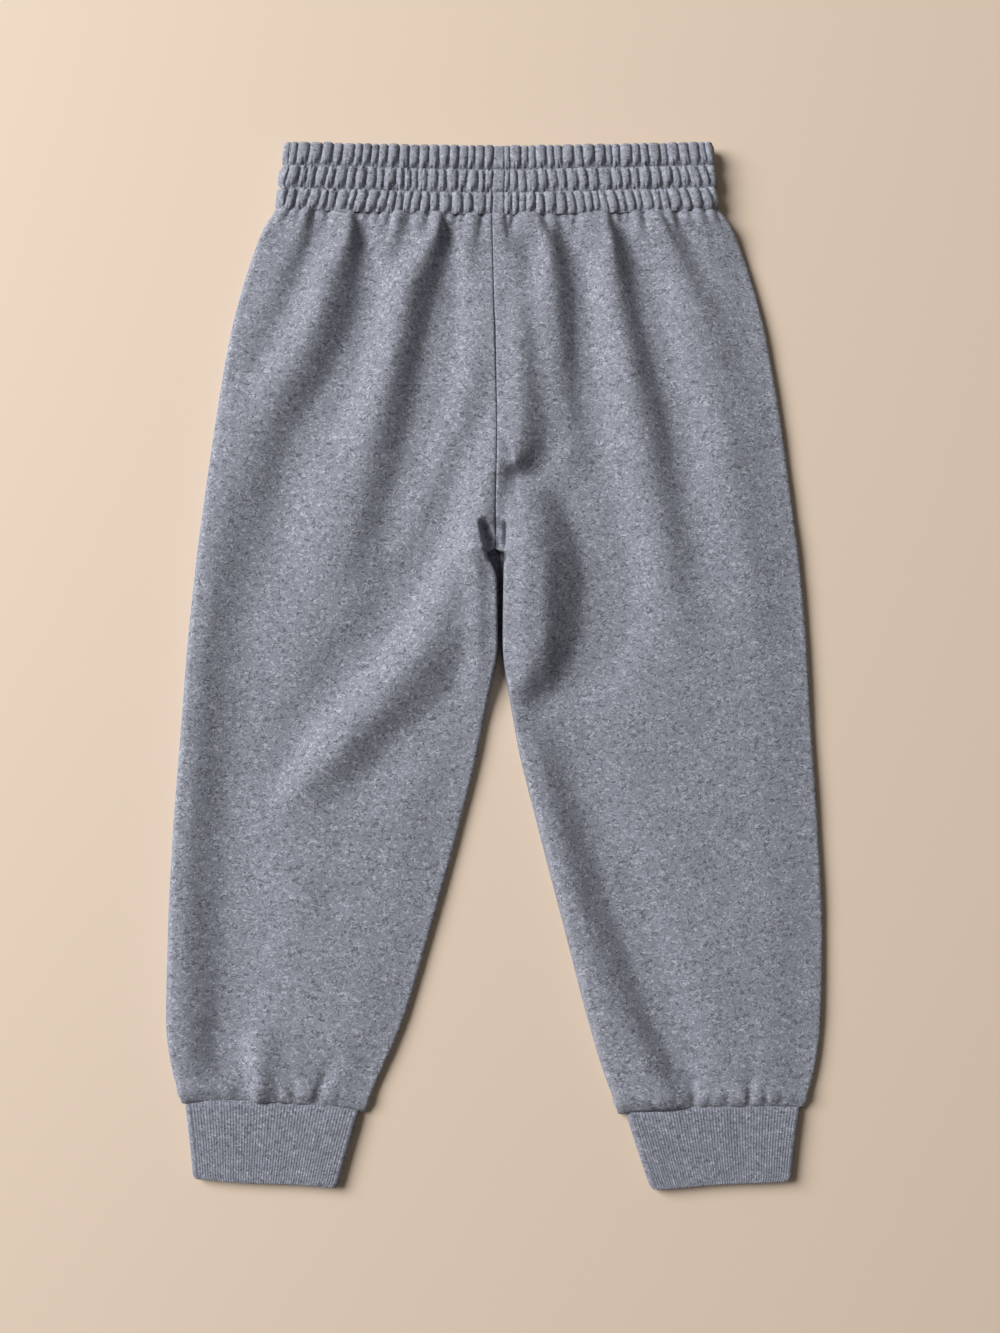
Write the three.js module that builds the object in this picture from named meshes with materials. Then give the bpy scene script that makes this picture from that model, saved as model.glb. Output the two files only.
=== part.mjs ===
// A small child's jogger sweatpants in grey melange sweatshirt knit, laid flat with the back uppermost.
// Each piece that is cut and sewn is one closed solid: four leg panels, a gathered waistband casing
// and two ribbed cuffs. Lengths are millimetres. X runs across the garment, Y from the cuffs up to
// the waist, and Z up from the floor. The origin is on the floor under the middle of the garment.
import * as THREE from 'three';

// Cloth
const CLOTH = 1.8; // one layer of brushed sweatshirt knit
const SEAM_GAP = 0.3; // between two pieces that are sewn together
const CASING_WALL = 4.6; // two layers of the knit over flat elastic
const RIB_WALL = 2.4; // two layers of rib knit
const LAYER_GAP = 0.8; // between the back and the front of a flattened tube

// Edges of the legs, where the back panel meets the front panel at half the height of the fold
const LIP_HEIGHT = 2.1; // how far the front panel curls up at its seams
const LIP_RADIUS = 3.2;
const BACK_EDGE = LIP_HEIGHT + SEAM_GAP;
const EDGE_ROUND = 5; // the back reaches its full height this far inside a folded edge
const ROLL_INSET = 8; // the cloth stands highest from a folded edge to this far inside it
const ROLL_WIDTH = 8;
const FLAT_SHARE = 0.42; // of the height, beside an edge that faces right, where the cloth lies flatter
const FLAT_REACH = 32; // how far inside such an edge the cloth reaches its full height
const flatBelowWaist = [0, 30]; // where an outer edge turns flatter, from the waist seam down
const flatBelowCrotch = [-5, 40]; // where an inner edge does, downwards from Y 0
const CROTCH_PUFF = 3; // how much fuller the legs are beside the crotch
const puffRows = [-40, 5]; // from none to full
const puffInset = { left: 8, right: 20 }; // how far it goes inside each leg's edge
const LEAST_HEIGHT = 1.9; // of the back over its edges
const HEIGHT_EASE = 0.7;

// The lower end of the seat seam. It lies in a hollow between the legs, which deepens on the left.
const SEAM_END = 57;
const LEGS_PART = 4; // how far over that the edges begin to round
const gusset = {
  height: 18, // from the seam's end up to where the hollow starts
  depth: 2.6,
  leftX: -8.9, // of its left side where it starts
  leftShift: 4.0, // how far that side runs to the right on the way down
  leftEase: 1.3,
  rightX: [5.2, 7.4],
  topEase: 0.3, // of its height
  fade: [1.2, 1.5], // under the seam's end, in heights
};
const pit = { depth: 3.2, endX: -6.3, endShift: 10.5, ease: 2 };

// Waistband: a casing stitched through in rows, which make its channels
const CHANNELS = 3;
const GATHERS = 44; // on the back face of each channel
const GATHER_RISE = 1.4;
const GATHER_SINK = 0.7;
const STITCH_SINK = 0.9;
const FOLD_SINK = 1.7; // how much thinner each face is where the casing is folded over, at the top
const GATHER_WANDER = 0.34; // how unevenly the gathers are spaced, in gathers
const WANDER_TURN = 1.9; // radians from one gather to the next
const CHANNEL_TURN = 2.3; // radians from one channel to the next, so that their gathers don't line up
const channelRows = [0.24, 0.76]; // where a channel stands full, from its lower stitching to its upper
const CASING_HEIGHT = 2 * CASING_WALL + LAYER_GAP;
const BAND_BOTTOM = { leftX: -120.6, rightX: 123.4, endY: 244.4, middleY: 240.9 };
const BAND_TOP = { leftX: -116.2, rightX: 119.6, endY: 281.6, middleY: 279.4 };
const BAND_SAG = BAND_BOTTOM.endY - BAND_BOTTOM.middleY;
const BAND_TAPER = 1.4; // above 1, the ends lean in more towards the top

// Cuffs: tubes of one and one rib
const RIBS = 54; // on the back face of each cuff
const RIB_RISE = 0.35;
const CUFF_HEIGHT = 2 * RIB_WALL + LAYER_GAP;
const CUFF_ROWS = 4;
const leftCuff = {
  top: { outer: [-164.0, -235.4], inner: [-71.2, -240.0] },
  hem: { outer: [-159.1, -276.4], inner: [-82.8, -280.8] },
  arch: 2.8, // how far the seam bows up over a straight line
};
const rightCuff = {
  top: { outer: [161.4, -238.1], inner: [69.0, -240.9] },
  hem: { outer: [156.2, -277.0], inner: [82.4, -281.6] },
  arch: 1.8,
};

// Leg outlines, from the waist to the cuff: the outer edge, then the centre seam down to the crotch and
// the inner edge below it. Crown is how far the back stands above its edges, and roll how much higher
// the cloth rolls beside them.
const legColumns = ['outerX', 'outerY', 'innerX', 'innerY', 'crown', 'roll'];
const leftLeg = [
  [-120.8, 244.1, -1.7, 240.6, 6.6, 0.0],
  [-126.4, 235.6, -1.6, 232.4, 7.0, 0.3],
  [-132.7, 219.9, -1.3, 218.0, 5.9, 0.5],
  [-143.8, 179.9, -0.2, 178.0, 5.4, 0.8],
  [-152.4, 126.8, 0.9, 124.0, 5.2, 1.0],
  [-158.6, 78.0, 0.1, 75.0, 5.4, 1.2],
  [-160.9, 59.0, 0.0, 58.6, 5.6, 1.2],
  [-161.2, 56.0, -4.2, 55.4, 5.6, 1.2],
  [-162.7, 41.0, 0.6, 40.0, 5.4, 1.2],
  [-165.6, 10.0, 1.0, 8.0, 5.0, 1.2],
  [-168.8, -40.0, -7.0, -42.0, 4.4, 1.4],
  [-172.1, -90.0, -19.2, -93.0, 4.0, 1.4],
  [-174.1, -140.0, -33.2, -143.0, 4.0, 1.4],
  [-174.7, -190.0, -48.3, -193.5, 4.0, 1.2],
  [-171.1, -219.0, -60.6, -222.0, 4.4, 0.8],
  [-165.6, -235.0, -68.4, -239.8, 3.3, 0.0],
];
const rightLeg = [
  [123.6, 244.1, -1.7, 240.6, 6.6, 0.0],
  [130.0, 235.6, -1.6, 232.4, 7.0, 0.3],
  [136.1, 219.9, -1.3, 218.0, 5.9, 0.5],
  [147.1, 179.9, -0.2, 178.0, 5.4, 0.8],
  [155.8, 126.8, 0.9, 124.0, 5.2, 1.0],
  [161.8, 78.0, 0.1, 75.0, 5.4, 1.2],
  [164.2, 59.0, 0.0, 58.6, 5.6, 1.2],
  [164.5, 56.0, 5.0, 55.4, 5.6, 1.2],
  [165.8, 41.0, 4.5, 40.0, 5.4, 1.2],
  [168.1, 10.0, 4.2, 8.0, 5.0, 1.2],
  [170.2, -40.0, 10.9, -42.0, 4.4, 1.4],
  [172.9, -90.0, 23.1, -93.0, 4.0, 1.4],
  [174.7, -140.0, 36.1, -143.0, 4.0, 1.4],
  [173.4, -190.0, 49.2, -193.5, 4.0, 1.2],
  [169.2, -220.4, 57.8, -222.0, 4.4, 0.8],
  [163.0, -237.7, 65.2, -240.6, 3.3, 0.0],
];

// The largest folds of the back. Each runs through a list of places from its top down: where it is, how
// wide, and how far the cloth steps down across it from left to right. The cloth swells before the step
// and hollows after it.
const foldColumns = ['x', 'y', 'width', 'step'];
const folds = [
  // left hip, and down the outside of the left leg
  [
    [-73.5, 243, 4, 1.2], [-75, 232, 9, 3.1], [-81, 193, 12.5, 3.3], [-95, 155, 14, 2.8],
    [-116, 123, 14, 1.9], [-131, 79, 14, 1.7], [-145, 15, 14, 1.6], [-150, -66, 14, 1.7],
    [-154, -147, 13, 1.7], [-157, -200, 11, 1.2], [-159, -230, 7, 0],
  ],
  // left of the middle
  [
    [-24.5, 243, 4, 1.4], [-27, 233, 8, 3.1], [-39, 193, 12, 3.5], [-49, 144, 12.5, 2.8],
    [-57, 106, 12, 1.9], [-70, 58, 11, 1.3], [-85, 31, 10, 0],
  ],
  // right of the middle
  [
    [27, 243, 4.5, 1.6], [32, 231, 8, 3.1], [40, 198, 11, 3.4], [41, 155, 12, 3.1],
    [42, 128, 11, 2.1], [45, 105, 10, 1.1], [48, 80, 10, 0],
  ],
  // right hip
  [
    [63.5, 243, 4, 1.4], [66, 232, 7.5, 3.0], [73, 198, 10.5, 3.3], [83, 155, 11, 2.8],
    [91, 123, 11, 2.3], [95, 85, 11, 1.6], [105, 25, 12, 0.8], [108, -10, 10, 0],
  ],
  // beside the seat seam, hooked in towards it
  [
    [16, 196, 5, 0], [18, 172, 7.5, 1.7], [22, 142, 9, 2.7], [25, 120, 9, 3.1],
    [20, 105, 8, 2.5], [13, 99, 6, 1.5], [6, 99, 4, 0.6],
  ],
  // the hollow beside the crotch, right
  [
    [22, 99, 5, 0], [30, 90, 9, 2.3], [38, 62, 15.5, 4.5], [41, 28, 16.5, 4.9], [31, -5, 13, 3.7],
    [18, -21, 8, 1.2],
  ],
  // the swell across the left thigh, and the hollow under it
  [
    [0, 142, 8, 0], [-7, 115, 9, -1.9], [-20, 69, 11, -3.2], [-35, 38, 12, -3.5], [-52, 9, 12, -3.2],
    [-84, -29, 12, -2.7], [-110, -62, 10, -2.0], [-124, -82, 8, 0],
  ],
  [[-3, 24, 7, 0], [-16, 4, 11, 1.2], [-46, -29, 12, 1.5], [-78, -61, 11, 1.0], [-99, -90, 10, 0]],
  // along the inside of the right leg
  [
    [22, -40, 8, 0], [34, -61, 12, 1.8], [50, -115, 13, 2.6], [67, -164, 13, 2.8],
    [82, -201, 11, 2.7], [95, -226, 8, 1.9], [104, -238, 5, 0],
  ],
  // the swells between them, which face the other way
  [[-100, 238, 5, 0], [-103, 193, 8, -0.7], [-120, 158, 9, -0.7], [-134, 130, 9, 0]],
  [
    [-52, 240, 5, 0], [-57, 200, 9, -0.9], [-76, 138, 11, -1.0], [-95, 100, 12, -0.8],
    [-105, 48, 12, -0.4], [-102, 0, 12, 0],
  ],
  [[-4, 238, 5, 0], [-15, 190, 10, -1.0], [-29, 125, 11, -1.1], [-51, 70, 11, -0.8], [-75, 40, 11, 0]],
  [
    [50, 238, 5, 0], [53, 198, 8, -0.9], [59, 150, 9, -1.1], [68, 105, 10, -0.8],
    [80, 50, 11, -0.3], [84, 20, 11, 0],
  ],
  [[82, 238, 5, 0], [92, 188, 9, -0.9], [108, 125, 11, -0.8], [120, 60, 12, -0.5], [128, 0, 12, 0]],
  // outermost, left and right
  [[-99, 242, 3.5, 0.8], [-106, 218, 6, 1.2], [-120, 182, 8, 0.7], [-131, 150, 8, 0]],
  [[95, 243, 3, 0.8], [100, 228, 5, 1.3], [112, 200, 7, 1.1], [125, 172, 8, 0.5], [132, 140, 8, 0]],
];
const FOLD_STEPS = 3; // between two places of a fold
const FOLD_GAIN = 1.45;

// Panel meshes
const ROW_STEP = 12.5;
const FRONT_ROW_STEP = 30;
const BODY_COLUMNS = 16;
const EDGE_COLUMNS = 4;
const FRONT_COLUMNS = 3;
const UPRIGHT_REACH = 4; // how far from the centre seam its cloth is kept upright
const UPRIGHT_SHARE = 0.015; // of a panel's length, at both of its ends
const WAVE_COLUMNS = 3; // a valley and two shoulders
const PUCKERS = 20; // small gathers along the top edge of each back panel
const PUCKER_RISE = 1.1;
const puckerRows = [0, 0.026, 1 / 15]; // shares of the panel's length
const puckerFades = [1, 0.8, 0];

// Tube meshes
const TOP_SHARE = 0.45; // of the way round a tube, over its upper face
const END_COLUMNS = 4;
const UNDER_COLUMNS = 10;
const PLAIN_COLUMNS = 14; // over the plain inside

const lerp = THREE.MathUtils.lerp;
const clamp = THREE.MathUtils.clamp;
const smoothstep = THREE.MathUtils.smoothstep;

// Rows of a table as objects that are read by column name.
function readTable(columns, rows) {
  return rows.map((row) => Object.fromEntries(columns.map((name, i) => [name, row[i]])));
}

// A smooth value between the rows of a table, at a share of the way from its first row to its last. It
// never swings past the rows on either side.
function between(table, column, share) {
  const place = clamp(share, 0, 1) * (table.length - 1);
  const i = Math.min(Math.floor(place), table.length - 2);
  const t = place - i;
  const at = (k) => table[clamp(k, 0, table.length - 1)][column];
  const slopeAt = (k) => {
    const before = at(k) - at(k - 1);
    const after = at(k + 1) - at(k);
    return before * after > 0 ? (2 * before * after) / (before + after) : 0;
  };
  const slopeA = slopeAt(i);
  const slopeB = slopeAt(i + 1);
  const a = at(i);
  const b = at(i + 1);
  return (
    a + t * slopeA +
    t * t * (3 * (b - a) - 2 * slopeA - slopeB) +
    t * t * t * (2 * (a - b) + slopeA + slopeB)
  );
}

// Shares of the way down a leg that are about one step apart.
function evenShares(table, step) {
  const shares = [];
  for (let i = 0; i < table.length - 1; i++) {
    const count = Math.max(1, Math.round((table[i].outerY - table[i + 1].outerY) / step));
    for (let k = 0; k < count; k++) shares.push((i + k / count) / (table.length - 1));
  }
  shares.push(1);
  return shares;
}

// Height of a quarter round, 0 at the edge and 1 from one radius inwards.
function quarterRound(distance) {
  const q = clamp(1 - distance, 0, 1);
  return Math.sqrt(1 - q * q);
}

const foldPaths = folds.map((places) => {
  const table = readTable(foldColumns, places);
  const count = FOLD_STEPS * (table.length - 1);
  return Array.from({ length: count + 1 }, (_, k) =>
    Object.fromEntries(foldColumns.map((column) => [column, between(table, column, k / count)])),
  );
});

// Height that one fold adds at a point: a step down across it, with a swell before and a hollow after.
function foldAt(path, x, y) {
  let nearest = Infinity;
  let beside = 0;
  let width = 1;
  let step = 0;
  for (let i = 0; i < path.length - 1; i++) {
    const a = path[i];
    const b = path[i + 1];
    const dx = b.x - a.x;
    const dy = b.y - a.y;
    const length = Math.hypot(dx, dy);
    const t = clamp(((x - a.x) * dx + (y - a.y) * dy) / length ** 2, 0, 1);
    const distance = Math.hypot(x - a.x - t * dx, y - a.y - t * dy);
    if (distance < nearest) {
      nearest = distance;
      beside = ((y - a.y) * dx - (x - a.x) * dy) / length;
      width = lerp(a.width, b.width, t);
      step = lerp(a.step, b.step, t);
    }
  }
  return -FOLD_GAIN * step * (beside / width) * Math.exp(0.5 * (1 - (nearest / width) ** 2));
}

// How far the back drops between the legs at the lower end of the seat seam.
function gussetDepth(x, y) {
  const share = clamp(1 - (y - SEAM_END) / gusset.height, 0, gusset.fade[1]);
  const left = gusset.leftX + gusset.leftShift * share;
  const pitEnd = pit.endX + pit.endShift * share ** 2;
  const sideShare = smoothstep(x, left - gusset.leftEase, left + gusset.leftEase);
  const inside = sideShare * smoothstep(share, 0, gusset.topEase);
  const hollow = gusset.depth * (1 - smoothstep(x, ...gusset.rightX));
  const deeper = pit.depth * (1 - smoothstep(x, pitEnd - pit.ease, pitEnd + pit.ease));
  return (hollow + deeper) * inside * (1 - smoothstep(share, ...gusset.fade));
}

// A leg seen from above: its outline at a share of the way down, and a point across it.
function legAt(table, down, across) {
  const value = (column) => between(table, column, down);
  const outer = new THREE.Vector2(value('outerX'), value('outerY'));
  const inner = new THREE.Vector2(value('innerX'), value('innerY'));
  const side = Math.sign(outer.x - inner.x);
  inner.x += side * SEAM_GAP * 0.5;
  const width = outer.distanceTo(inner);
  const point = outer.clone().lerp(inner, across);
  // the top edge follows the curve of the waistband
  point.y -= BAND_SAG * across * (1 - across) * (1 - smoothstep(down, 0, 1 / (table.length - 1)));
  // the bottom edge bows with the cuff seam
  const { arch } = side < 0 ? leftCuff : rightCuff;
  point.y += 4 * arch * across * (1 - across) * smoothstep(down, 1 - 1 / (table.length - 1), 1);
  // 0 along the centre seam and 1 below the crotch, where the inner edge is a fold of its own
  const split = 1 - smoothstep(inner.y, SEAM_END, SEAM_END + LEGS_PART);
  return { point, side, split, fromOuter: across * width, fromInner: (1 - across) * width };
}

// A point of the back's upper face.
function backFace(table, down, across) {
  const { point, side, split, fromOuter, fromInner } = legAt(table, down, across);
  const outerRise = quarterRound(fromOuter / EDGE_ROUND);
  const innerRise = 1 - split * (1 - quarterRound(fromInner / EDGE_ROUND));
  // the outer edge of the right leg and the inner edge of the left one face right
  const flatOuter = side > 0 ? smoothstep(table[0].outerY - point.y, ...flatBelowWaist) : 0;
  const flatInner = side < 0 ? split * smoothstep(-point.y, ...flatBelowCrotch) : 0;
  const fullAt = (distance) => smoothstep(distance, 0, FLAT_REACH);
  const flatness = flatOuter * (1 - fullAt(fromOuter)) + flatInner * (1 - fullAt(fromInner));
  const rollAt = (distance, inset) => Math.exp(-((Math.max(distance - inset, 0) / ROLL_WIDTH) ** 2));
  const outerRoll = rollAt(fromOuter, ROLL_INSET) * (1 - flatOuter);
  const innerRoll = rollAt(fromInner, ROLL_INSET) * (1 - flatInner) * split;
  const roll = between(table, 'roll', down) * (outerRoll + innerRoll);
  const folded = foldPaths.reduce((sum, fold) => sum + foldAt(fold, point.x, point.y), 0);
  const inset = side < 0 ? puffInset.left : puffInset.right;
  const puff = CROTCH_PUFF * split * rollAt(fromInner, inset) * smoothstep(point.y, ...puffRows);
  const crown = between(table, 'crown', down);
  const raised = (crown + roll + folded) * (1 - (1 - FLAT_SHARE) * flatness) + puff;
  const over = (raised - gussetDepth(point.x, point.y) - LEAST_HEIGHT) / HEIGHT_EASE;
  // eased, so that a deep hollow stays over the least height
  const height = LEAST_HEIGHT + HEIGHT_EASE * Math.log(1 + Math.exp(over));
  const z = BACK_EDGE + height * outerRise * innerRise;
  return new THREE.Vector3(point.x, point.y, z);
}

// A point of the front's under face, flat on the floor with its edges curled up.
function frontFace(table, down, across) {
  const { point, split, fromOuter, fromInner } = legAt(table, down, across);
  const outerCurl = 1 - quarterRound(fromOuter / LIP_RADIUS);
  const innerCurl = split * (1 - quarterRound(fromInner / LIP_RADIUS));
  return new THREE.Vector3(point.x, point.y, LIP_HEIGHT * Math.max(outerCurl, innerCurl));
}

// The unit normal of a face with Z up. It is held upright along the seams, so that pieces don't meet.
function normalAt(face, table, down, across) {
  const step = 0.002;
  const low = Math.max(across - step, 0);
  const high = Math.min(across + step, 1);
  const above = Math.max(down - step, 0);
  const below = Math.min(down + step, 1);
  const alongX = face(table, down, high).sub(face(table, down, low));
  const alongY = face(table, above, across).sub(face(table, below, across));
  const normal = alongX.cross(alongY).normalize();
  if (normal.z < 0) normal.negate();
  const { split, fromInner } = legAt(table, down, across);
  const atCentre = (1 - split) * Math.exp(-fromInner / UPRIGHT_REACH);
  const atEnds = Math.exp(-Math.min(down, 1 - down) / UPRIGHT_SHARE);
  const upright = Math.max(atCentre, atEnds);
  return normal.lerp(new THREE.Vector3(0, 0, 1), upright).normalize();
}

// Shares across a panel: close together over its rounded edges, evenly spaced between them.
function sharesAcross(width, round, edgeColumns, bodyColumns) {
  const shares = [];
  for (let k = 0; k < edgeColumns; k++) {
    shares.push((round * (1 - Math.cos((k / edgeColumns) * Math.PI * 0.5))) / width);
  }
  const edge = round / width;
  for (let k = 0; k <= bodyColumns; k++) shares.push(lerp(edge, 1 - edge, k / bodyColumns));
  for (let k = edgeColumns - 1; k >= 0; k--) shares.push(1 - shares[k]);
  return shares;
}

// Triangles between two rows of points. Each point has a share, and the strip steps along the row whose
// next share is the nearer, so the rows may have different counts.
function strip(rowA, rowB, flip, triangles) {
  let a = 0;
  let b = 0;
  while (a < rowA.length - 1 || b < rowB.length - 1) {
    const nextA = a < rowA.length - 1 ? rowA[a + 1].share : Infinity;
    const nextB = b < rowB.length - 1 ? rowB[b + 1].share : Infinity;
    const corners = nextA <= nextB
      ? [rowA[a], rowA[++a], rowB[b]]
      : [rowA[a], rowB[b + 1], rowB[b++]];
    if (flip) corners.reverse();
    triangles.push(...corners.map((corner) => corner.point));
  }
}

// One closed solid between an outer and an inner skin, each a list of rows of points.
function wallBetween(outerRows, innerRows, isTube) {
  const triangles = [];
  const skin = (rows, flip) => {
    for (let i = 0; i < rows.length - 1; i++) strip(rows[i], rows[i + 1], flip, triangles);
  };
  skin(outerRows, false);
  skin(innerRows, true);
  strip(innerRows[0], outerRows[0], false, triangles);
  strip(outerRows.at(-1), innerRows.at(-1), false, triangles);
  if (!isTube) {
    const side = (rows, index) => rows.map((row) => ({ point: row.at(index).point, share: row.down }));
    strip(side(outerRows, 0), side(innerRows, 0), false, triangles);
    strip(side(innerRows, -1), side(outerRows, -1), false, triangles);
  }
  let volume = 0;
  for (let i = 0; i < triangles.length; i += 3) {
    volume += triangles[i].dot(triangles[i + 1].clone().cross(triangles[i + 2]));
  }
  if (volume < 0) triangles.reverse();
  const geometry = new THREE.BufferGeometry().setFromPoints(triangles);
  geometry.computeVertexNormals();
  return geometry;
}

// A leg panel: its face, and the other side of the cloth one thickness away.
function panel(rows, face, thickness, options) {
  const table = readTable(legColumns, rows);
  const middleWidth = legAt(table, 0.5, 0).fromInner;
  const shares = sharesAcross(middleWidth, options.round, EDGE_COLUMNS, options.columns);
  const downs = evenShares(table, options.rowStep);
  const rowOf = (down, list, place) => {
    const row = list.map((across) => ({ point: place(down, across), share: across }));
    row.down = down;
    return row;
  };
  const outside = (down, across) => face(table, down, across);
  const inside = (down, across) => {
    const point = outside(down, across);
    point.addScaledVector(normalAt(face, table, down, across), -thickness);
    point.z = clamp(point.z, options.lowest, options.highest);
    return point;
  };
  const innerRows = downs.map((down) => rowOf(down, shares, inside));
  let outerRows = downs.map((down) => rowOf(down, shares, outside));
  if (options.puckered) {
    const columns = WAVE_COLUMNS * PUCKERS;
    const waveShares = Array.from({ length: columns + 1 }, (_, k) => k / columns);
    const puckered = puckerRows.map((down, i) =>
      rowOf(down, waveShares, (at, across) => {
        const point = outside(at, across);
        const isValley = Math.round(across * columns) % WAVE_COLUMNS === 0;
        if (!isValley) point.z += PUCKER_RISE * puckerFades[i];
        return point;
      }),
    );
    outerRows = [...puckered, ...outerRows.filter((row) => row.down > puckerRows.at(-1) + 0.01)];
  }
  return wallBetween(outerRows, innerRows, false);
}

// Places round a flattened tube, starting at the left of its upper face: how far across the flat part,
// which way is out, and the share of the way round.
function roundTube(topColumns, underColumns, endColumns) {
  const places = [];
  const add = (flat, turn, isRaised) =>
    places.push({ flat, outX: Math.sin(turn), outZ: Math.cos(turn), isRaised });
  topColumns.forEach(({ at, isRaised }) => add(at, 0, isRaised));
  for (let k = 1; k < endColumns; k++) add(1, (Math.PI * k) / endColumns, false);
  for (let k = 0; k <= underColumns; k++) add(1 - k / underColumns, Math.PI, false);
  for (let k = 1; k < endColumns; k++) add(0, Math.PI * (1 + k / endColumns), false);
  places.push({ ...places[0] });
  const topCount = topColumns.length;
  places.forEach((place, i) => {
    const past = (i - topCount + 1) / (places.length - topCount);
    place.share = i < topCount ? TOP_SHARE * place.flat : lerp(TOP_SHARE, 1, past);
  });
  return places;
}

// Evenly spaced columns over a tube's upper face, each second one raised when it is ribbed.
function evenColumns(count, isRibbed) {
  return Array.from({ length: count + 1 }, (_, k) => ({ at: k / count, isRaised: isRibbed && k % 2 === 1 }));
}

// A row of points round a flattened tube that lies between two ends on the floor plan.
function tubeRow(places, left, right, height, inset, raise, sag = () => 0) {
  const radius = height / 2;
  const across = new THREE.Vector2().subVectors(right, left);
  const width = across.length();
  across.normalize();
  const row = places.map((place) => {
    const out = radius - inset + raise(place);
    const along = lerp(radius, width - radius, place.flat) + place.outX * out;
    const x = left.x + across.x * along;
    const y = left.y + across.y * along + sag(along / width);
    return { point: new THREE.Vector3(x, y, radius + place.outZ * out), share: place.share };
  });
  row.at(-1).point.copy(row[0].point);
  return row;
}

// Columns over the upper face of one channel: a valley and two shoulders for each gather, unevenly spaced.
function gatherColumns(phase) {
  const edgeOf = (k) => {
    const wander = k === 0 || k === GATHERS ? 0 : GATHER_WANDER * Math.sin(k * WANDER_TURN + phase);
    return (k + wander) / GATHERS;
  };
  const columns = [{ at: 0, isRaised: false }];
  for (let k = 0; k < GATHERS; k++) {
    const start = edgeOf(k);
    const end = edgeOf(k + 1);
    columns.push({ at: lerp(start, end, 0.25), isRaised: true });
    columns.push({ at: lerp(start, end, 0.75), isRaised: true });
    columns.push({ at: end, isRaised: false });
  }
  return columns;
}

// The waistband: rows of stitching pinch the casing, and each channel between them is gathered.
function waistband() {
  const rowAt = (up, places, inset, raise) => {
    const endY = lerp(BAND_BOTTOM.endY, BAND_TOP.endY, up);
    const middleY = lerp(BAND_BOTTOM.middleY, BAND_TOP.middleY, up);
    const lean = up ** BAND_TAPER;
    const left = new THREE.Vector2(lerp(BAND_BOTTOM.leftX, BAND_TOP.leftX, lean), endY);
    const right = new THREE.Vector2(lerp(BAND_BOTTOM.rightX, BAND_TOP.rightX, lean), endY);
    const sag = (share) => (middleY - endY) * (1 - (2 * clamp(share, 0, 1) - 1) ** 2);
    return tubeRow(places, left, right, CASING_HEIGHT, inset, raise, sag);
  };
  const isUnder = (place) => place.outX ** 2 < 1e-6 && place.outZ < 0;
  const isOver = (place) => place.outX ** 2 < 1e-6 && place.outZ > 0;
  const stitched = (place) => (isUnder(place) ? 0 : -STITCH_SINK);
  const foldedOver = () => -FOLD_SINK;
  const gathered = (place) => {
    if (place.isRaised) return GATHER_RISE;
    return isOver(place) ? -GATHER_SINK : 0;
  };
  const outerRows = [];
  for (let channel = 0; channel < CHANNELS; channel++) {
    const columns = gatherColumns(channel * CHANNEL_TURN);
    const places = roundTube(columns, UNDER_COLUMNS, END_COLUMNS);
    const isTop = channel === CHANNELS - 1;
    if (channel === 0) outerRows.push(rowAt(0, places, 0, stitched));
    channelRows.forEach((up) => outerRows.push(rowAt((channel + up) / CHANNELS, places, 0, gathered)));
    outerRows.push(rowAt((channel + 1) / CHANNELS, places, 0, isTop ? foldedOver : stitched));
  }
  const inside = roundTube(evenColumns(PLAIN_COLUMNS, false), UNDER_COLUMNS, END_COLUMNS);
  const innerRows = [0, 0.5, 1].map((up) => rowAt(up, inside, CASING_WALL, () => 0));
  return wallBetween(outerRows, innerRows, true);
}

// A cuff: a tapered tube with one and one ribs raised on its upper face.
function cuff(ends) {
  const isLeft = ends.top.outer[0] < 0;
  const leftName = isLeft ? 'outer' : 'inner';
  const rightName = isLeft ? 'inner' : 'outer';
  const edgeAt = (name, down) =>
    new THREE.Vector2(...ends.top[name]).lerp(new THREE.Vector2(...ends.hem[name]), down);
  const rowsOf = (columns, inset, raise, count) => {
    const places = roundTube(columns, UNDER_COLUMNS, END_COLUMNS);
    return Array.from({ length: count }, (_, k) => {
      const down = k / (count - 1);
      const sag = (share) => 4 * ends.arch * (1 - down) * share * (1 - share);
      const left = edgeAt(leftName, down);
      const right = edgeAt(rightName, down);
      return tubeRow(places, left, right, CUFF_HEIGHT, inset, raise, sag);
    });
  };
  const ribbed = (place) => (place.isRaised ? RIB_RISE : 0);
  return wallBetween(
    rowsOf(evenColumns(2 * RIBS, true), 0, ribbed, CUFF_ROWS),
    rowsOf(evenColumns(PLAIN_COLUMNS, false), RIB_WALL, () => 0, 2),
    true,
  );
}

const fleece = new THREE.MeshStandardMaterial({ color: 0x898c98, roughness: 0.95, metalness: 0 });
const rib = new THREE.MeshStandardMaterial({ color: 0x7c808c, roughness: 0.95, metalness: 0 });

const garment = new THREE.Group();
function add(name, geometry, material) {
  const mesh = new THREE.Mesh(geometry, material.clone());
  mesh.name = name;
  garment.add(mesh);
}

const back = {
  round: EDGE_ROUND,
  columns: BODY_COLUMNS,
  rowStep: ROW_STEP,
  lowest: BACK_EDGE,
  highest: Infinity,
  puckered: true,
};
const front = {
  round: LIP_RADIUS,
  columns: FRONT_COLUMNS,
  rowStep: FRONT_ROW_STEP,
  lowest: 0,
  highest: LIP_HEIGHT,
  puckered: false,
};
add('back_left', panel(leftLeg, backFace, CLOTH, back), fleece);
add('back_right', panel(rightLeg, backFace, CLOTH, back), fleece);
add('front_left', panel(leftLeg, frontFace, -CLOTH, front), fleece);
add('front_right', panel(rightLeg, frontFace, -CLOTH, front), fleece);
add('waistband', waistband(), fleece);
add('cuff_left', cuff(leftCuff), rib);
add('cuff_right', cuff(rightCuff), rib);

export default garment;
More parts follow.
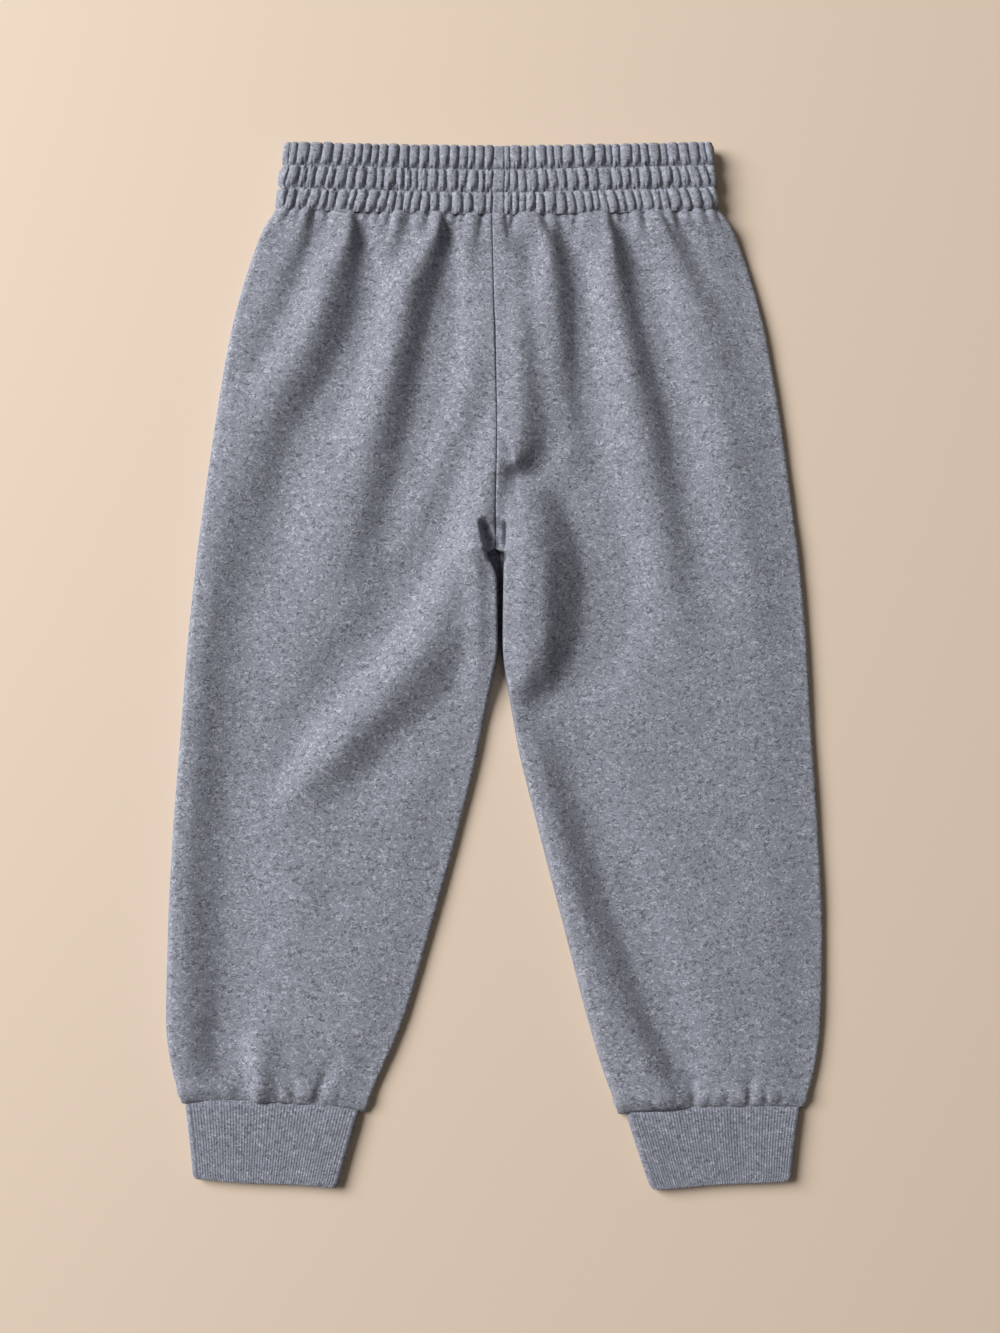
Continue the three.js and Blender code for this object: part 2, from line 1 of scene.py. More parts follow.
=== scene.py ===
"""A small child's jogger sweatpants in grey melange brushed knit, laid flat with the back uppermost.

Lengths are worked out in millimetres, in the frame's own axes, and meshes are written in metres.
"""
import math

import bmesh
import bpy
import numpy as np
from mathutils import Matrix, Vector


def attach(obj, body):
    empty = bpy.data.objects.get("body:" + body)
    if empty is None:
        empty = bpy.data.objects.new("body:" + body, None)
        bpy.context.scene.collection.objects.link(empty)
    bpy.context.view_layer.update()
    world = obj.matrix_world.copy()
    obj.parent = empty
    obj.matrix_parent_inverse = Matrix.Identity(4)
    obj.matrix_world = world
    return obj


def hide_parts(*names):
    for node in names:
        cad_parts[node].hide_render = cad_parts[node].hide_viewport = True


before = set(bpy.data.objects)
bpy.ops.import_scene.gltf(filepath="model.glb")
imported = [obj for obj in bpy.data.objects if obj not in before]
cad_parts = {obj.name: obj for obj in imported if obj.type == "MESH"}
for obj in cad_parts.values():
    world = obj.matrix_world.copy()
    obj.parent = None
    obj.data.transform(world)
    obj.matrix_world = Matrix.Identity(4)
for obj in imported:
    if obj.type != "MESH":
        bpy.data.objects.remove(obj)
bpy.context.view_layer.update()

MM = 0.001

# The camera, as in the photo: almost straight above, tipped a little towards the waist
PHOTO_HEIGHT = 1333  # pixels
FOCAL_LENGTH = 1600  # pixels of the photo
CAMERA_TILT = math.radians(3.8)
CAMERA_AIM = Vector((2.5, -5.1, 0)) * MM
CAMERA_DISTANCE = 864 * MM

# Cloth
CLOTH = 1.8
CASING_CLOTH = 1.0
RIB_CLOTH = 0.9
SEAM_GAP = 0.3
SEAT_GAP = 0.1
LIP_HEIGHT = 2.1  # how far the front panels curl up at their seams
LIP_RADIUS = 3.2
BACK_EDGE = LIP_HEIGHT + SEAM_GAP
LOWEST = 1.3  # the back's least height over the front's edge, where it lies on the front
LOWEST_EASE = 0.7
HILLS = ({"rise": 0.4, "size": 60}, {"rise": 0.15, "size": 20})  # the back's gentle unevenness

# The edges of the legs
EDGE_ROUND = 4.5
ROLL_INSET = 8
ROLL_WIDTH = 8
CROTCH_ROUND = 1.1  # the edges stand steeper beside the crotch
CROTCH_STEEP = (20, 90)  # where they turn as round as elsewhere, downwards from Y 0
FLAT_ROUND = 2.4  # the edges that face right lie flatter than the others
FLAT_SHARE = 0.42
FLAT_REACH = 32
FLAT_BELOW_WAIST = (0, 30)  # where an outer edge turns flatter, from the waist seam down
FLAT_BELOW_CROTCH = (-5, 40)  # where an inner edge does, downwards from Y 0

# The crotch
SEAM_END = 57  # where the seat seam ends and the legs part
LEGS_PART = 4  # how far over that the edges begin to round
CROTCH_ZONE = (36, 80)
CROTCH_PUFF = 3.0  # how much fuller the legs are beside the crotch
CROTCH_FULL = {-1: 8, 1: 20}  # how far from each leg's edge, left and right
PUFF_FOOT = (-40, 5)
PUFF_TOP = (46, 84)  # where that fullness fades into the seat
PUFF_EASE = (1, 9)  # how far inside the edge it does, instead of ending where the legs part
OVERHANG = {"reach": 0.8, "inset": 1, "width": 3}  # how each leg leans over the gap below the crotch
OVERHANG_FOOT = (-25, 5)
OVERHANG_LEFT_TOP = (-54, -44)  # where the left leg begins to lean, downwards from Y 0

# The hollow at the seat seam's lower end. Shares run from 0 at its top to 1 at the seam's end.
GUSSET = {"height": 18, "depth": 3.0, "left_x": -8.9, "left_shift": 4.0, "right_x": (5.2, 7.4)}
GUSSET_LEFT_EASE = (-1.6, 1.4)
GUSSET_TOP = 0.35
GUSSET_FADE = (1.2, 1.5)
PIT = {"depth": 4.8, "end_x": -4.4, "end_shift": 8.4}  # the deeper part, on its left
PIT_EASE = (-1.5, 2.0)
CREASE = {"depth": 3.4, "x": 5.6, "width": 1.2, "top": (0.05, 0.35)}  # on its right
BULGE = {"rise": 0.9, "left_inset": 7, "right_x": 13.5, "width": 6}  # on both sides of it
BULGE_AT = {"share": 0.8, "spread": 1.2}

# The hidden fronts
FRONTS_MEET = 2.4  # where their edges nearly meet under the legs
MEET_FOOT = (-8, 8)
MEET_TOP = (-0.5, 1.5)  # over the seam's end
MEET_MOST = 8  # how far at most an edge is drawn in
MEET_WIDTH = 9
FRONT_HILL = {"rise": 0.25, "size": 40}
FRONT_PUCKER = {"share": 0.5, "most": 2, "reach": 6}
FRONT_LIFT = 0.8  # the most that they lift off the floor
FRONT_EDGE = (4, 14)  # where that begins, inside their edges
SEAT_INSIDE = 40  # the seat seam counts as this far inside

# Leg outlines from the waist to the cuff, as the solids have them
LEG_COLUMNS = ("outer_x", "outer_y", "inner_x", "inner_y", "crown", "roll")
LEFT_LEG = (
    (-120.8, 244.1, -1.7, 240.6, 6.6, 0.0),
    (-126.4, 235.6, -1.6, 232.4, 7.0, 0.3),
    (-132.7, 219.9, -1.3, 218.0, 5.9, 0.5),
    (-143.8, 179.9, -0.2, 178.0, 5.4, 0.8),
    (-152.4, 126.8, 0.9, 124.0, 5.2, 1.0),
    (-158.6, 78.0, 0.1, 75.0, 5.4, 1.2),
    (-160.9, 59.0, 0.0, 58.6, 5.6, 1.2),
    (-161.2, 56.0, -4.2, 55.4, 5.6, 1.2),
    (-162.7, 41.0, 0.6, 40.0, 5.4, 1.2),
    (-165.6, 10.0, 1.0, 8.0, 5.0, 1.2),
    (-168.8, -40.0, -7.0, -42.0, 4.4, 1.4),
    (-172.1, -90.0, -19.2, -93.0, 4.0, 1.4),
    (-174.1, -140.0, -33.2, -143.0, 4.0, 1.4),
    (-174.7, -190.0, -48.3, -193.5, 4.0, 1.2),
    (-171.1, -219.0, -60.6, -222.0, 4.4, 0.8),
    (-165.6, -235.0, -68.4, -239.8, 3.3, 0.0),
)
RIGHT_LEG = (
    (123.6, 244.1, -1.7, 240.6, 6.6, 0.0),
    (130.0, 235.6, -1.6, 232.4, 7.0, 0.3),
    (136.1, 219.9, -1.3, 218.0, 5.9, 0.5),
    (147.1, 179.9, -0.2, 178.0, 5.4, 0.8),
    (155.8, 126.8, 0.9, 124.0, 5.2, 1.0),
    (161.8, 78.0, 0.1, 75.0, 5.4, 1.2),
    (164.2, 59.0, 0.0, 58.6, 5.6, 1.2),
    (164.5, 56.0, 5.0, 55.4, 5.6, 1.2),
    (165.8, 41.0, 4.5, 40.0, 5.4, 1.2),
    (168.1, 10.0, 4.2, 8.0, 5.0, 1.2),
    (170.2, -40.0, 10.9, -42.0, 4.4, 1.4),
    (172.9, -90.0, 23.1, -93.0, 4.0, 1.4),
    (174.7, -140.0, 36.1, -143.0, 4.0, 1.4),
    (173.4, -190.0, 49.2, -193.5, 4.0, 1.2),
    (169.2, -220.4, 57.8, -222.0, 4.4, 0.8),
    (163.0, -237.7, 65.2, -240.6, 3.3, 0.0),
)

CROTCH_ROW = 7  # of both tables

# How far in the columns and rows lie close together, and the steps between them there and elsewhere
CLOSE_EDGE = 13
CLOSE_END = 26
BACK_STEPS = {"edge": 0.8, "body": 1.8, "end": 0.85}
FRONT_STEPS = {"edge": 1.3, "body": 4, "end": 1.6}
FINE_STEPS = 4000  # to find a row's place along the outer edge

# The folds of the back, each a run of places from its top down: where it is, how wide, and how far
# the cloth steps down across it from left to right. It swells before the step and hollows after it.
FOLD_COLUMNS = ("x", "y", "width", "step")
BACK_FOLDS = (
    # left hip, and down the outside of the left leg
    (
        (-73.5, 243, 3, 0.3), (-75, 230, 4, 2.0), (-78, 212, 8.5, 2.9), (-81, 193, 12.5, 3.3),
        (-95, 155, 14, 2.8), (-116, 123, 14, 1.9), (-131, 79, 14, 1.7), (-145, 15, 14, 1.6),
        (-150, -66, 15, 1.8), (-151.5, -147, 15, 2.2), (-151, -200, 13, 1.8), (-153, -230, 8, 0.2),
    ),
    # left of the middle
    (
        (-24.5, 243, 3, 0.3), (-28, 230, 4, 2.0), (-33, 212, 8, 2.9), (-39, 193, 12, 3.5),
        (-49, 144, 12.5, 2.8), (-57, 106, 12, 1.9), (-70, 58, 11, 1.3), (-85, 31, 10, 0),
    ),
    # right of the middle
    (
        (27, 243, 3.5, 0.3), (33, 229, 4.5, 2.2), (37, 213, 8, 3.0), (40, 198, 11, 3.4),
        (41, 155, 12, 3.1), (42, 128, 11, 2.1), (45, 105, 10, 1.1), (48, 80, 10, 0),
    ),
    # right hip
    (
        (63.5, 243, 3, 0.3), (67, 230, 4, 2.1), (70, 213, 7.5, 2.9), (73, 198, 10.5, 3.3),
        (83, 155, 11, 2.8), (91, 123, 11, 2.3), (95, 85, 11, 1.6), (105, 25, 12, 0.8),
        (108, -10, 10, 0),
    ),
    # beside the seat seam, hooked in towards it
    (
        (16, 196, 5, 0), (18, 172, 7.5, 1.6), (21, 142, 9, 2.3), (23, 119, 9, 2.5),
        (17, 105, 7, 2.4), (11, 100.5, 5, 2.0), (5, 101, 3.5, 1.0),
    ),
    # the hollow beside the crotch, right
    (
        (18, 100, 6, 0.4), (27, 88, 12, 2.8), (36, 68, 16, 4.4), (42, 42, 17.5, 4.9),
        (41, 18, 17, 4.8), (32, -6, 13, 3.5), (18, -21, 8, 1.1),
    ),
    # the swell across the left thigh, and the hollow under it
    (
        (0, 142, 8, 0), (-7, 115, 9, -1.9), (-20, 69, 11, -3.2), (-35, 38, 12, -3.5),
        (-52, 9, 12, -3.2), (-84, -29, 12, -2.7), (-110, -62, 10, -2.0), (-124, -82, 8, 0),
    ),
    (
        (-3, 24, 7, 0), (-16, 4, 11, 1.2), (-46, -29, 12, 1.5), (-78, -61, 11, 1.0), (-99, -90, 10, 0),
    ),
    # along the inside of the right leg
    (
        (22, -40, 8, 0), (34, -61, 12, 1.8), (50, -115, 13, 2.6), (67, -164, 13, 2.8),
        (82, -201, 11, 2.7), (95, -226, 8, 1.9), (104, -238, 5, 0),
    ),
    # the swells between them, which face the other way
    ((-100, 238, 5, 0), (-103, 193, 8, -0.7), (-120, 158, 9, -0.7), (-134, 130, 9, 0)),
    (
        (-52, 240, 5, 0), (-57, 200, 9, -0.9), (-76, 138, 11, -1.0), (-95, 100, 12, -0.8),
        (-105, 48, 12, -0.4), (-102, 0, 12, 0),
    ),
    (
        (-4, 238, 5, 0), (-15, 190, 10, -1.0), (-29, 125, 11, -1.1), (-51, 70, 11, -0.8),
        (-75, 40, 11, 0),
    ),
    (
        (50, 238, 5, 0), (53, 198, 8, -0.9), (59, 150, 9, -1.1), (68, 105, 10, -0.8),
        (80, 50, 11, -0.3), (84, 20, 11, 0),
    ),
    (
        (82, 238, 5, 0), (92, 188, 9, -0.9), (108, 125, 11, -0.8), (120, 60, 12, -0.5),
        (128, 0, 12, 0),
    ),
    # over the left cuff
    ((-137, -188, 10, 0), (-133, -209, 8, -2.1), (-129, -226, 5.5, -2.6), (-126.5, -238, 3, -1.0)),
    # outermost, left and right
    ((-99, 242, 3.5, 0.8), (-106, 218, 6, 1.2), (-120, 182, 8, 0.7), (-131, 150, 8, 0)),
    ((95, 243, 3, 0.8), (100, 228, 5, 1.3), (112, 200, 7, 1.1), (125, 172, 8, 0.5), (132, 140, 8, 0)),
    # short ones between them
    ((-50, 242, 2.4, 0.6), (-53, 228, 4, 1.0), (-60, 205, 6, 0.4), (-64, 190, 6, 0)),
    ((8, 243, 3, 0.3), (11, 228, 5, 0.9), (16, 200, 6, 0.4), (18, 185, 6, 0)),
    ((-8, 238, 4, 0), (-10, 222, 6, 0.6), (-14, 190, 8, 0.4), (-16, 165, 8, 0)),
)
# Creases of the hidden front, like those of the back. They lift it off the floor.
FRONT_FOLDS = (
    ((-90, 243, 4, 0.3), (-98, 205, 8, 0.6), (-112, 150, 10, 0.5), (-128, 90, 11, 0)),
    ((-40, 243, 4, 0.3), (-50, 200, 8, 0.6), (-58, 140, 10, 0.5), (-70, 80, 10, 0)),
    ((26, 243, 4, 0.3), (32, 205, 7, 0.6), (37, 160, 8, 0.5), (40, 110, 9, 0)),
    ((80, 243, 4, 0.3), (88, 200, 8, 0.6), (98, 140, 10, 0.4), (108, 90, 10, 0)),
    ((-8, 66, 7, 0), (-34, 22, 10, 0.7), (-66, -14, 12, 0.5), (-96, -44, 12, 0)),
    ((9, 66, 7, 0), (32, 22, 9, 0.7), (58, -12, 11, 0.5), (86, -44, 12, 0)),
)
PATH_STEPS = 7
FOLD_GAIN = 1.45

# A small dip beside the seat seam, where the hooked fold ends
SEAT_DIP = {"x": 10.5, "y": 100, "depth": 1.9, "size": 4.6}

# Notches that a seam draws into the cloth: where, how deep, how wide, how far each runs from the
# seam, and how far it leans to the right for each millimetre from the seam
NOTCH_COLUMNS = ("x", "depth", "width", "reach", "lean")
WAIST_NOTCHES = (
    (-118.0, 0.6, 1.2, 5, -0.3),
    (-112.0, 0.8, 1.3, 6, -0.3),
    (-106.0, 0.8, 1.3, 6, -0.2),
    (-99.0, 1.3, 1.3, 9, -0.1),
    (-91.4, 1.1, 1.2, 7, 0.0),
    (-75.2, 2.8, 2.4, 13, 0.0),
    (-69.2, 1.3, 1.1, 7, 0.1),
    (-63.6, 1.4, 1.2, 8, 0.05),
    (-57.3, 1.6, 1.3, 12, -0.1),
    (-46.0, 0.7, 1.2, 5, 0.0),
    (-36.8, 1.1, 1.3, 8, 0.0),
    (-27.5, 2.8, 1.7, 15, 0.1),
    (-21.5, 0.9, 1.0, 5, 0.0),
    (-17.2, 1.6, 1.2, 12, 0.1),
    (-7.4, 1.0, 1.1, 8, 0.0),
    (5.9, 1.2, 1.2, 9, 0.0),
    (9.8, 1.3, 1.2, 11, -0.2),
    (26.0, 2.8, 1.9, 13, 0.45),
    (34.9, 1.2, 1.1, 7, 0.2),
    (39.5, 0.9, 1.0, 5, 0.0),
    (43.6, 1.5, 1.3, 10, 0.1),
    (63.2, 2.8, 1.7, 15, 0.2),
    (68.3, 1.2, 1.0, 6, 0.0),
    (72.6, 1.4, 1.2, 9, 0.2),
    (80.3, 1.1, 1.2, 8, 0.2),
    (91.5, 2.1, 1.6, 14, 0.4),
    (98.4, 1.2, 1.2, 8, 0.3),
    (106.0, 0.9, 1.2, 6, 0.3),
    (114.0, 0.8, 1.2, 6, 0.3),
    (120.0, 0.6, 1.2, 5, 0.3),
)
NOTCH_SPREAD = 14  # how far from its seam a notch is twice as wide
SEAM_HOLD = 0.45  # how much of its depth a notch has at the seam itself
SEAM_HOLD_REACH = 3.5
LOBE_RISE = 0.34  # of a lobe's width, between two notches
LOBE_MOST = 2.7
LOBE_REACH = 1.1  # of a lobe's width
LOBE_SPREAD = 0.15  # how much wider it gets for each millimetre from the seam
LOBE_FORM = {"side": 2.2, "top": 0.65}

CUFF_NOTCHES = (
    (-152, 0.6, 1.6, 6, -0.3),
    (-143.9, 0.9, 1.6, 8, -0.4),
    (-132.4, 2.3, 1.7, 13, -0.35),
    (-123.0, 0.9, 1.2, 6, 0.0),
    (-114.2, 1.1, 1.2, 6, 0.0),
    (-106.6, 1.7, 1.4, 9, 0.1),
    (-95.3, 2.7, 1.8, 20, 0.4),
    (-84.0, 0.8, 1.3, 7, 0.3),
    (84.0, 0.7, 1.3, 6, -0.2),
    (96.0, 0.8, 1.3, 7, -0.2),
    (105.6, 2.6, 1.6, 12, -0.15),
    (113.2, 0.9, 1.2, 6, 0.0),
    (122.2, 1.2, 1.3, 7, 0.0),
    (133.3, 2.5, 1.3, 14, 0.12),
    (141.9, 1.4, 1.3, 8, 0.1),
    (149.5, 1.0, 1.2, 7, 0.2),
)
CUFF_ARCH = {-1: 2.8, 1: 1.8}  # how far each cuff seam arches over a straight line, left and right
CUFF_PUFF = {"rise": 1.5, "above": 5, "width": 5}
CUFF_OVERHANG = {"reach": 1.0, "above": 3, "width": 3}

# How deep and how wide each seam lies in the cloth, and how the raw edges tuck in at both ends
WAIST_SEAM = {"depth": 1.1, "width": 2.0}
SEAT_SEAM = {"depth": 0.6, "width": 0.6}
CUFF_SEAM = {"depth": 0.7, "width": 0.9}
TUCK = {"reach": 1.6, "drop": 0.5, "width": 0.6}

# The waistband
CHANNELS = 3
CASING_HEIGHT = 10
CASING_WALL = 4.6
BAND_BOTTOM = {"left_x": -120.6, "right_x": 123.4, "end_y": 244.4, "middle_y": 240.9}
BAND_TOP = {"left_x": -116.2, "right_x": 119.6, "end_y": 281.6, "middle_y": 279.4}
BAND_SAG = BAND_BOTTOM["end_y"] - BAND_BOTTOM["middle_y"]
BAND_TAPER = 1.4
BAND_LENGTH = BAND_BOTTOM["right_x"] - BAND_BOTTOM["left_x"]
BAND_COLUMNS = 640
BAND_END_COLUMNS = 12
BAND_UNDER_COLUMNS = 300
CHANNEL_ROWS = 12
CASING_FOLD = {"from": 0.955, "turns": 8, "inner_rows": (0.8, 0.5, 0.2, 0.0)}
FOLD_BULGE = {"shell": 0.8, "relief": 0.35}
BAND_SWAY = {"reach": 0.35, "length": 23}
BAND_CLOTH = {"height": 41, "fold": 2, "at": 600}  # where it is cut from the cloth
UNDERSIDE = (0.5, 1)  # where a flattened ring turns under, up to its lower face
SEAM_SEED = 7
BAND_SEED = 11

# The gathers, each a soft tube with a valley on both sides. Pairs hold the least and the most.
GATHER_PITCH = 5.1
GATHER_SPACING = (0.72, 1.36)
GATHER_RISE = 1.85
GATHER_LEAN = (3.4, 1.2, 0.6)  # how far the tubes of each channel lean to the middle, lowest first
VALLEY_DEPTH = 0.6
VALLEY_WIDTH = 0.5
VALLEY_SHARES = (0.5, 1.0)
TUBE = {
    "height": (0.7, 1.1),
    "end": (-0.06, 0.08),  # how far short of the stitching it stops, as a share of the channel
    "narrowing": (0.45, 0.8),
    "lean": (-0.25, 0.25),
    "part": (0.35, 0.65),  # where it parts in two at the stitching
    "fork": (0.2, 1.6),
}
TUBE_FORM = {"narrowing": 1.7, "side": 2.3, "end": 5, "top": 0.55}
TUBE_FULL = {"width": 5, "limits": (0.7, 1.15)}  # wider tubes stand higher
FORK = {"reach": 0.2, "width": 0.45}
FLAT_SPOT = (-1.7, 4.6)  # the seam allowance at the centre back, which isn't gathered
FLAT_SPOT_RISE = 0.4
FLAT_SPOT_SIDE = 12
FLAT_SPOT_CLEAR = 2.6
SLOW_WAVER = {"reach": 0.7, "length": 13}
QUICK_WAVER = {"reach": 0.3, "length": 3.1, "twist": 4}
WAVER_START = (0, 6)

# The stitching
STITCH_SINK = 0.75
STITCH_WIDTH = 0.06  # of a channel
STITCH_PITCH = 3.1
STITCH_LENGTH = 2.5
STITCH_SIDES = 6
THREAD = 0.17
EDGE_STITCH = 0.5
STITCHES_END = 2  # how far from the band's ends

# The cuffs
RIBS = 54
RIB_COLUMNS = 6
RIB_RISE = 0.24
RIB_UNEVEN = {"rise": 0.12, "knots": 24, "reach": 0.5}
RIB_SINK = 0.12  # how much further in the lower face's ribs lie, so that they stay over the floor
CUFF_PULL = {"depth": 0.5, "reach": 0.05}
CUFF_END_COLUMNS = 10
CUFF_ROWS = (*np.linspace(0, 0.88, 12), 0.91, 0.935, 0.955, 0.97)
HEM_TURNS = 7
HEM_INNER_ROWS = (0.97, 0.6, 0.3, 0)
HEM_BULGE = {"shell": 0.8, "relief": 0.3}
HEM_CORNER = 3.2
HEM_CORNER_SHARE = 0.09  # of the cuff's height
CUFF_HEIGHT = 5.6
RIB_WALL = 2.4
CUFF_BOW = {"left": (0.4, 0.2), "right": (-0.3, 0.4)}  # how far each cuff's left and right ends draw in
CUFF_SWAY = {"reach": 0.3, "turns": 1.3}
CUFF_CLOTH = {"height": 41, "hem": 1.5, "step": 100}
CUFF_LEFT = {
    "top": {"outer": (-164.0, -235.4), "inner": (-71.2, -240.0)},
    "hem": {"outer": (-159.1, -276.4), "inner": (-82.8, -280.8)},
}
CUFF_RIGHT = {
    "top": {"outer": (161.4, -238.1), "inner": (69.0, -240.9)},
    "hem": {"outer": (156.2, -277.0), "inner": (82.4, -281.6)},
}

CUT = {  # the pieces as they were cut, in metres: width, length and area
    "panel": ((0.19, 0.50), 0.079),
    "band": ((0.62, 0.084), 0.052),
    "cuff": ((0.186, 0.096), 0.0178),
}


def make_camera():
    data = bpy.data.cameras.new("camera")
    data.sensor_width = 36
    data.lens = FOCAL_LENGTH / PHOTO_HEIGHT * data.sensor_width
    camera = bpy.data.objects.new("camera", data)
    bpy.context.collection.objects.link(camera)
    forward = Vector((0, math.sin(CAMERA_TILT), -math.cos(CAMERA_TILT)))
    camera.location = CAMERA_AIM - forward * CAMERA_DISTANCE
    camera.rotation_euler = (CAMERA_TILT, 0, 0)
    bpy.context.scene.camera = camera


make_camera()


# Number helpers

def lerp(a, b, t):
    return a + (b - a) * t


def smoothstep(value, low, high):
    t = np.clip((value - low) / (high - low), 0, 1)
    return t * t * (3 - 2 * t)


def bell(distance, width):
    return np.exp(-((distance / width) ** 2))


def quarter_round(distance):
    q = np.clip(1 - distance, 0, 1)
    return np.sqrt(1 - q * q)


def between(knots, share):
    """A smooth value between knots that never swings past them."""
    knots = np.asarray(knots, float)
    place = np.clip(share, 0, 1) * (len(knots) - 1)
    i = np.minimum(place.astype(int), len(knots) - 2)
    t = place - i
    steps = np.diff(knots)
    before = np.concatenate(([0], steps))
    after = np.concatenate((steps, [0]))
    product = before * after
    total = np.where(product > 0, before + after, 1)
    slopes = np.where(product > 0, 2 * product / total, 0)
    a, b = knots[i], knots[i + 1]
    slope_a, slope_b = slopes[i], slopes[i + 1]
    curve = t * slope_a + t**2 * (3 * (b - a) - 2 * slope_a - slope_b)
    return a + curve + t**3 * (2 * (a - b) + slope_a + slope_b)


def undulation(x, y, size, seed):
    """Gentle unevenness between about -1 and 1, with hills about one size apart."""
    rng = np.random.default_rng(seed)
    total = np.zeros(np.broadcast(x, y).shape)
    waves = 9
    for _ in range(waves):
        turn = rng.uniform(0, 2 * math.pi)
        length = size * rng.uniform(0.8, 1.9)
        phase = rng.uniform(0, 2 * math.pi)
        total += np.sin(2 * math.pi * (x * math.cos(turn) + y * math.sin(turn)) / length + phase)
    return total / math.sqrt(waves * 2)


def fold_relief(folds, x, y):
    """How far a list of folds lifts or lowers the cloth at each point."""
    total = np.zeros(x.shape)
    for fold in folds:
        share = np.linspace(0, 1, PATH_STEPS * (len(fold) - 1) + 1)
        column = {
            name: between([place[i] for place in fold], share) for i, name in enumerate(FOLD_COLUMNS)
        }
        nearest = np.full(x.shape, np.inf)
        beside = np.zeros(x.shape)
        along = np.zeros(x.shape)
        for i in range(len(share) - 1):
            run_x = column["x"][i + 1] - column["x"][i]
            run_y = column["y"][i + 1] - column["y"][i]
            length = math.hypot(run_x, run_y)
            from_x = x - column["x"][i]
            from_y = y - column["y"][i]
            t = np.clip((from_x * run_x + from_y * run_y) / length**2, 0, 1)
            distance = np.hypot(from_x - t * run_x, from_y - t * run_y)
            closer = distance < nearest
            nearest = np.where(closer, distance, nearest)
            # positive on the right of a fold that runs down the leg
            beside = np.where(closer, (from_y * run_x - from_x * run_y) / length, beside)
            along = np.where(closer, i + t, along)
        width = np.interp(along, range(len(share)), column["width"])
        step = np.interp(along, range(len(share)), column["step"])
        fold_share = beside / width
        total -= FOLD_GAIN * step * fold_share * np.exp(0.5 * (1 - (nearest / width) ** 2))
    return total


# Mesh helpers

def mesh_object(name, bm, finish):
    """A smooth piece from a bmesh, which it uses up."""
    for face in bm.faces:
        face.smooth = True
    mesh = bpy.data.meshes.new(name)
    bm.to_mesh(mesh)
    bm.free()
    mesh.materials.append(finish)
    piece = bpy.data.objects.new(name, mesh)
    bpy.context.collection.objects.link(piece)
    return piece


def cloth_object(name, points, uv, finish, facing=None):
    """A sheet of cloth: a grid of rows by columns of points, in millimetres."""
    rows, columns = points.shape[:2]
    bm = bmesh.new()
    bmesh.ops.create_grid(bm, x_segments=columns - 1, y_segments=rows - 1, size=0.5)
    layer = bm.loops.layers.uv.new("cloth")
    for vert in bm.verts:
        i = round((vert.co.y + 0.5) * (rows - 1))
        j = round((vert.co.x + 0.5) * (columns - 1))
        vert.co = points[i, j] * MM
        vert.index = i * columns + j
    flat_uv = uv.reshape(-1, 2) * MM
    for face in bm.faces:
        for loop in face.loops:
            loop[layer].uv = flat_uv[loop.vert.index]
    bmesh.ops.remove_doubles(bm, verts=bm.verts, dist=1e-6)
    bm.normal_update()
    if facing is not None:
        turned = sum(face.normal.dot(facing) * face.calc_area() for face in bm.faces)
    else:
        middle = Vector(points.reshape(-1, 3).mean(axis=0) * MM)
        turned = sum(
            face.normal.dot(face.calc_center_median() - middle) * face.calc_area() for face in bm.faces
        )
    if turned < 0:
        bmesh.ops.reverse_faces(bm, faces=bm.faces)
    return mesh_object(name, bm, finish)


def thicken(piece, thickness):
    wall = piece.modifiers.new("wall", "SOLIDIFY")
    wall.thickness = thickness * MM
    wall.offset = -1


def along_rows(points, middle_column):
    """Distance along each row of points, counted both ways from one column, where it is that point's x."""
    steps = np.linalg.norm(np.diff(points, axis=1), axis=2)
    run = np.concatenate((np.zeros((len(points), 1)), np.cumsum(steps, axis=1)), axis=1)
    side = np.sign(points[:, -1, 0] - points[:, 0, 0])[:, None]
    return points[:, middle_column, 0][:, None] + side * (run - run[:, middle_column][:, None])


# The four leg panels

def leg_plan(rows, across, down):
    """Where points of a leg lie seen from above, and how far they are from its edges."""
    value = {
        name: between([row[i] for row in rows], down) for i, name in enumerate(LEG_COLUMNS)
    }
    side = np.sign(rows[0][0])
    inner_x = value["inner_x"] + side * SEAT_GAP / 2
    width = np.hypot(inner_x - value["outer_x"], value["inner_y"] - value["outer_y"])
    x = lerp(value["outer_x"], inner_x, across)
    y = lerp(value["outer_y"], value["inner_y"], across)
    y = y - BAND_SAG * across * (1 - across) * (1 - smoothstep(down, 0, 1 / (len(rows) - 1)))
    arch = 4 * CUFF_ARCH[side] * across * (1 - across)
    y = y + arch * smoothstep(down, 1 - 1 / (len(rows) - 1), 1)
    waist_line = lerp(rows[0][1], rows[0][3], across) - BAND_SAG * across * (1 - across)
    cuff_line = lerp(rows[-1][1], rows[-1][3], across) + arch
    split = 1 - smoothstep(value["inner_y"], SEAM_END, SEAM_END + LEGS_PART)
    return {
        "x": x,
        "y": y,
        "split": split,
        "from_outer": across * width,
        "from_inner": (1 - across) * width,
        "crown": value["crown"],
        "roll": value["roll"],
        "side": side,
        "inner_x": inner_x,
        "below_waist": np.maximum(waist_line - y, 0),
        "above_cuff": np.maximum(y - cuff_line, 0),
    }


def gather_lines(rng, length, middle):
    """Places of the valleys between gathers along a channel, unevenly spaced, with their own depths."""
    lines = [0.0]
    while lines[-1] < length:
        lines.append(lines[-1] + GATHER_PITCH * rng.uniform(*GATHER_SPACING))
    lines = np.array(lines) * length / lines[-1]
    flat_low, flat_high = middle + FLAT_SPOT[0], middle + FLAT_SPOT[1]
    lines = lines[(lines < flat_low - FLAT_SPOT_CLEAR) | (lines > flat_high + FLAT_SPOT_CLEAR)]
    lines = np.sort(np.concatenate((lines, [flat_low, flat_high])))
    depths = rng.uniform(*VALLEY_SHARES, len(lines))
    return lines, depths


